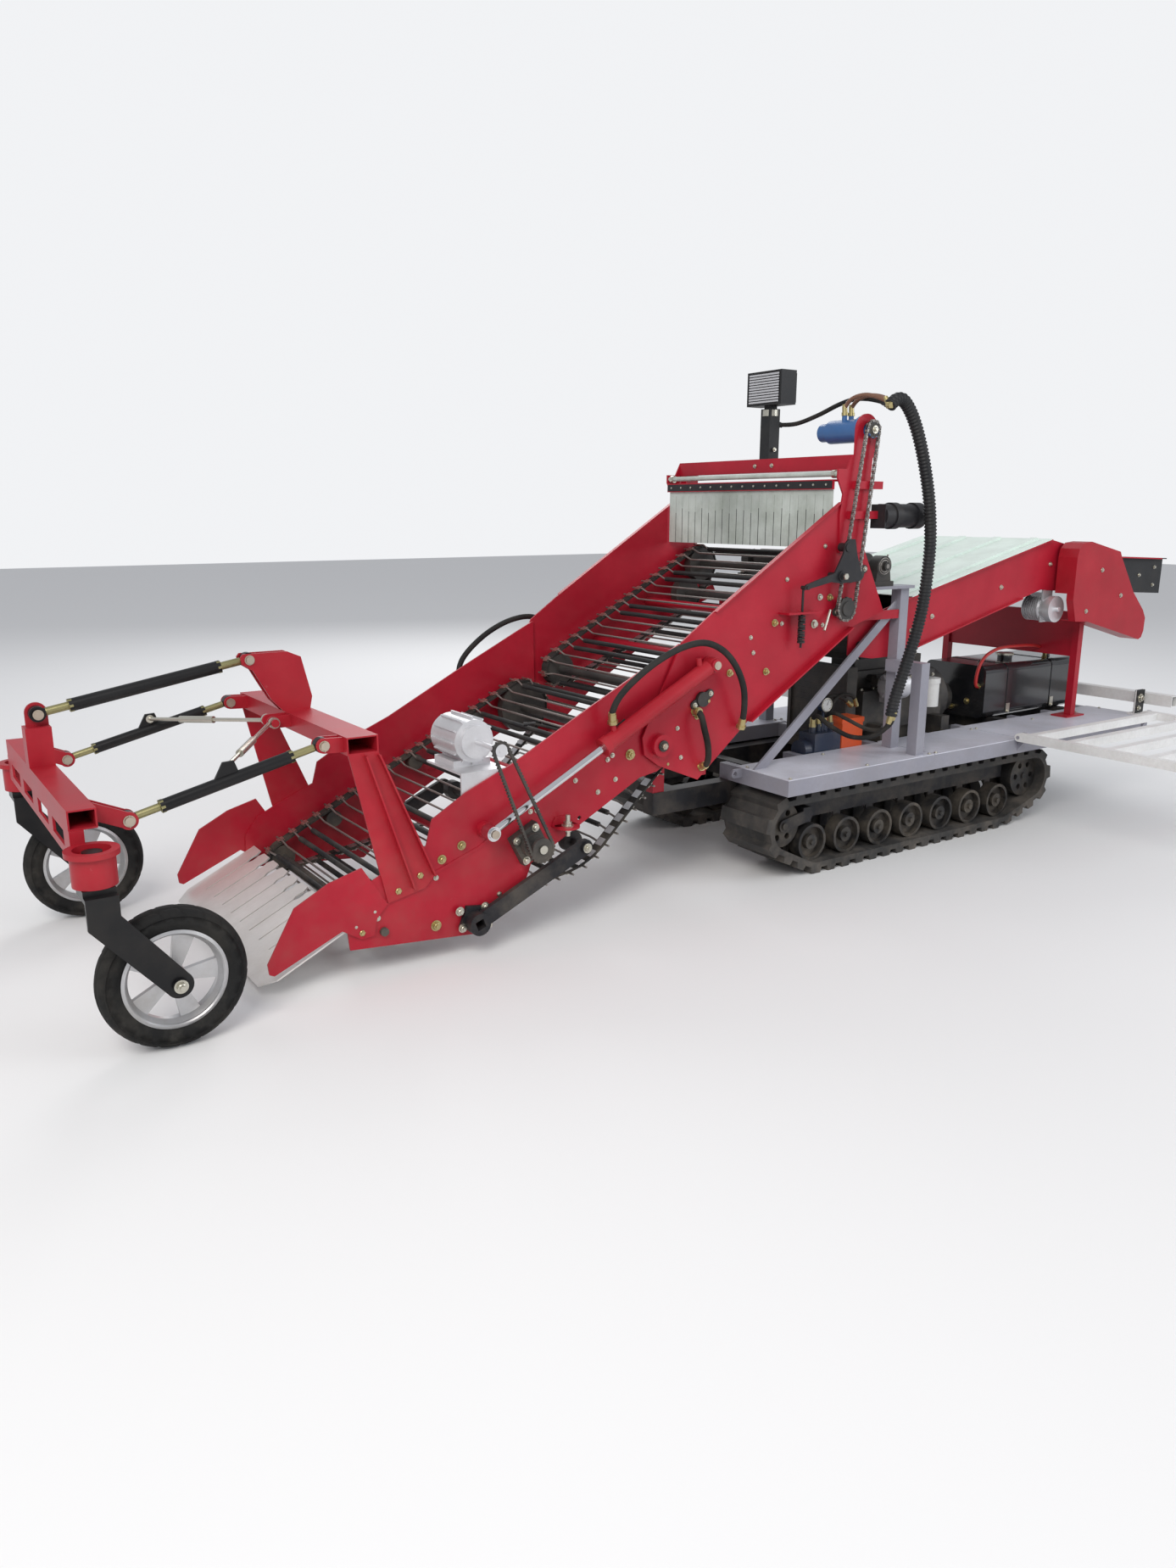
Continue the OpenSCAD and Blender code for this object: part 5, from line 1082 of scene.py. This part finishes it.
def arm_stops():
    """Red half-round brackets on the side plates, each with an upright stop bolt for the support arm."""
    red, zinc = Build(), Build()
    x, z = STOP_X, STOP_Z
    for s in SIDES:
        red.box((x, s * 0.567, z - 0.0035), (0.096, 0.0336, 0.007))
        red.cyl((x, s * 0.584, z - 0.007), (x, s * 0.584, z), 0.048, 28)
        tab = [(x - 0.048, z), (x + 0.048, z), (x + 0.034, z + 0.031), (x - 0.034, z + 0.031)]
        red.slab(tab, *sorted((s * 0.5502, s * 0.5560)))
        y = s * 0.588
        zinc.cyl((x, y, z - 0.039), (x, y, z + 0.043), 0.0095, 12)
        zinc.cyl((x, y, z + 0.0002), (x, y, z + 0.0035), 0.024, 20)
        zinc.cyl((x, y, z + 0.0035), (x, y, z + 0.017), 0.0165, 6)
        zinc.cyl((x, y, z - 0.021), (x, y, z - 0.0072), 0.0165, 6)
    red.obj("arm_stop_brackets", "red", "front_section", "red_paint")
    zinc.obj("arm_stop_bolts", "zinc", "front_section", "zinc")


# Engine, valve block, tank and rear rail
GAUGE = (0.380, 0.690)
GAUGE_Y = -0.3125
FLYWHEEL = (1.448, 0.600)
HEAD_STEP = 0.12
HEAD_X = 0.88
PUMP_X = 0.985
PUMP_STEP = 0.05
PUMP_Y = 0.217
INJECTOR_Y = 0.136
FILLER = (0.900, 0.000)
TANK_CAP = (2.060, -0.060)
TANK_FACE = 1.6698
BEARING = (0.550, 1.330)


def cap_ribs(b, x, y, z, r, n):
    """Grip ribs round a cap."""
    for k in range(n):
        a = 2 * math.pi * k / n
        place = (x + r * math.cos(a), y + r * math.sin(a), z)
        b.box(place, (0.006, 0.006, 0.012), Matrix.Rotation(a, 3, "Z"))


def gauge():
    """The pressure gauge's rim, dial, needle and marks."""
    x, z = GAUGE
    b = Build()
    b.tube(circle(x, GAUGE_Y, z, 0.031, 40), 0.0035, 8, False)
    b.obj("gauge_rim", "zinc", "chassis", "zinc")
    b = Build()
    b.cyl((x, -0.3122, z), (x, -0.3128, z), 0.029, 32)
    b.obj("gauge_dial", "whitemetal", "chassis", "white_metal")
    b = Build()
    b.slab([(0.3785, 0.688), (0.3815, 0.688), (0.392, 0.708), (0.3905, 0.7088)], -0.3136, -0.3129)
    for k in range(9):
        a = math.radians(225 - k * 33.75)
        u = Vector((math.cos(a), 0, math.sin(a)))
        turn = Matrix((u, Y_AXIS, Vector((-u.z, 0, u.x)))).transposed()
        b.box(Vector((x, -0.3131, z)) + u * 0.025, (0.004, 0.0006, 0.0012), turn)
    b.obj("gauge_marks", "black", "chassis", "black_paint")


def engine_bolts():
    b = Build()
    for i in range(7):
        for s in SIDES:
            b.bolt((0.79 + i * 0.09, s * 0.150, 0.7003), (0, 0, 1), 0.009, 0.007)
    for i in range(5):
        for s in SIDES:
            b.bolt((0.84 + i * 0.11, s * 0.066, 0.8432), (0, 0, 1), 0.006, 0.005)
    x, z = FLYWHEEL
    for i in range(10):
        a = 2 * math.pi * (i + 0.5) / 10
        b.bolt((x, 0.150 * math.cos(a), z + 0.150 * math.sin(a)), (1, 0, 0), 0.007, 0.006)
    for i in range(4):
        for e in (-0.024, 0.024):
            b.bolt((HEAD_X + i * HEAD_STEP + e, -0.2003, 0.750), (0, -1, 0), 0.006, 0.005)
    b.obj("engine_bolts", "zinc", "chassis", "zinc")


def injection():
    """The injection pump with its unions, the filler cap, and four pipes from the pump to the head."""
    x, y = FILLER
    b = Build()
    b.cyl((x, y, 0.842), (x, y, 0.862), 0.024, 24)
    cap_ribs(b, x, y, 0.854, 0.024, 8)
    b.slab([(0.955, 0.560), (1.165, 0.560), (1.165, 0.640), (1.150, 0.655), (0.970, 0.655), (0.955, 0.640)],
           0.189, 0.245)
    pipes = Build()
    for i in range(4):
        x, u = PUMP_X + i * PUMP_STEP, HEAD_X + i * HEAD_STEP
        b.cyl((x, PUMP_Y, 0.654), (x, PUMP_Y, 0.676), 0.010, 6)
        b.cyl((u, 0.112, 0.752), (u, INJECTOR_Y, 0.752), 0.010, 6)
        run = [(x, PUMP_Y, 0.676), (x, 0.219, 0.700), (x + (u - x) * 0.3, 0.222, 0.735),
               (u - (u - x) * 0.2, 0.200, 0.758), (u, 0.165, 0.756), (u, INJECTOR_Y, 0.752)]
        pipes.tube(smooth_path(run, 26)[0], 0.0032, 8)
    b.obj("injection_pump", "iron", "chassis", "iron")
    pipes.obj("injection_pipes", "zinc", "chassis", "zinc")


def tank_cap():
    """The fuel tank's cap and the buckles of its straps."""
    b = Build()
    for x in (1.878, 2.278):
        b.box((x, -0.234, 0.52), (0.030, 0.004, 0.05))
        b.bolt((x, -0.236, 0.500), (0, -1, 0), 0.006, 0.005)
    x, y = TANK_CAP
    b.cyl((x, y, 0.781), (x, y, 0.792), 0.046, 28)
    cap_ribs(b, x, y, 0.786, 0.045, 12)
    b.obj("tank_fittings", "zinc", "chassis", "zinc")


def tank_taps():
    b = Build()
    for y in (-0.120, 0.060):
        b.bolt((TANK_FACE, y, 0.560), (-1, 0, 0), 0.012, 0.008)
    b.cyl((TANK_FACE, -0.030, 0.520), (1.652, -0.030, 0.520), 0.014, 16)
    b.cyl((1.652, -0.030, 0.520), (1.634, -0.030, 0.520), 0.010, 6)
    b.obj("tank_taps", "gold", "chassis", "zinc")


def bearing_rings():
    """Insert rings, shaft ends and grease nipples of the transfer roller's bearings."""
    x, z = BEARING
    b = Build()
    for r, thick in ((0.036, 0.003), (0.026, 0.004), (0.016, 0.003)):
        for s in SIDES:
            b.tube(circle(x, s * 0.4565, z, r, 32), thick, 6, False)
    for s in SIDES:
        b.cyl((x, s * 0.4751, z), (x, s * 0.4770, z), 0.010, 20)
        b.cyl((x + 0.025, s * 0.444, z + 0.036), (x + 0.033, s * 0.444, z + 0.050), 0.004, 8)
    b.obj("bearing_rings", "steel", "chassis", "steel")


def rail_brackets():
    """Black plates on the brackets of the rear rail, with their bolts."""
    outline = [(2.4885, 0.4830), (2.5700, 0.4830), (2.5700, 0.6095), (2.5600, 0.6120), (2.4885, 0.6120)]
    b = Build()
    for s in SIDES:
        for y0, y1 in ((0.6142, 0.6154), (0.6046, 0.6058)):
            b.slab(outline, *sorted((s * y0, s * y1)))
    b.obj("rail_brackets", "enamel", "chassis", "black_paint")
    b = Build()
    for s in SIDES:
        b.bolt((2.530, s * 0.6155, 0.565), (0, s, 0), 0.016, 0.010, True, 0.008)
        b.bolt((2.520, s * 0.6155, 0.510), (0, s, 0), 0.009, 0.008)
    b.obj("rail_bolts", "zinc", "chassis", "zinc")


# The whole scene, in a fixed order
make_camera()
make_stage()
paint_nodes()
web(FRONT, "front", "front_section", "front_web_rods", 1)
web(REAR, "rear", "chassis", "rear_web_rods", 3)
for tyre_side in SIDES:
    tyre(tyre_side)
corrugated()
front_bolts()
seam_fold()
hoses()
link_ends()
curtain()
chute_strip()
motor_shaft_end()
joint_pins()
engine_bolts()
injection()
bearing_rings()
rail_brackets()
arm_stops()
tank_taps()
chains()
rear_bolts()
lamp()
gauge()
tensioner()
tank_cap()
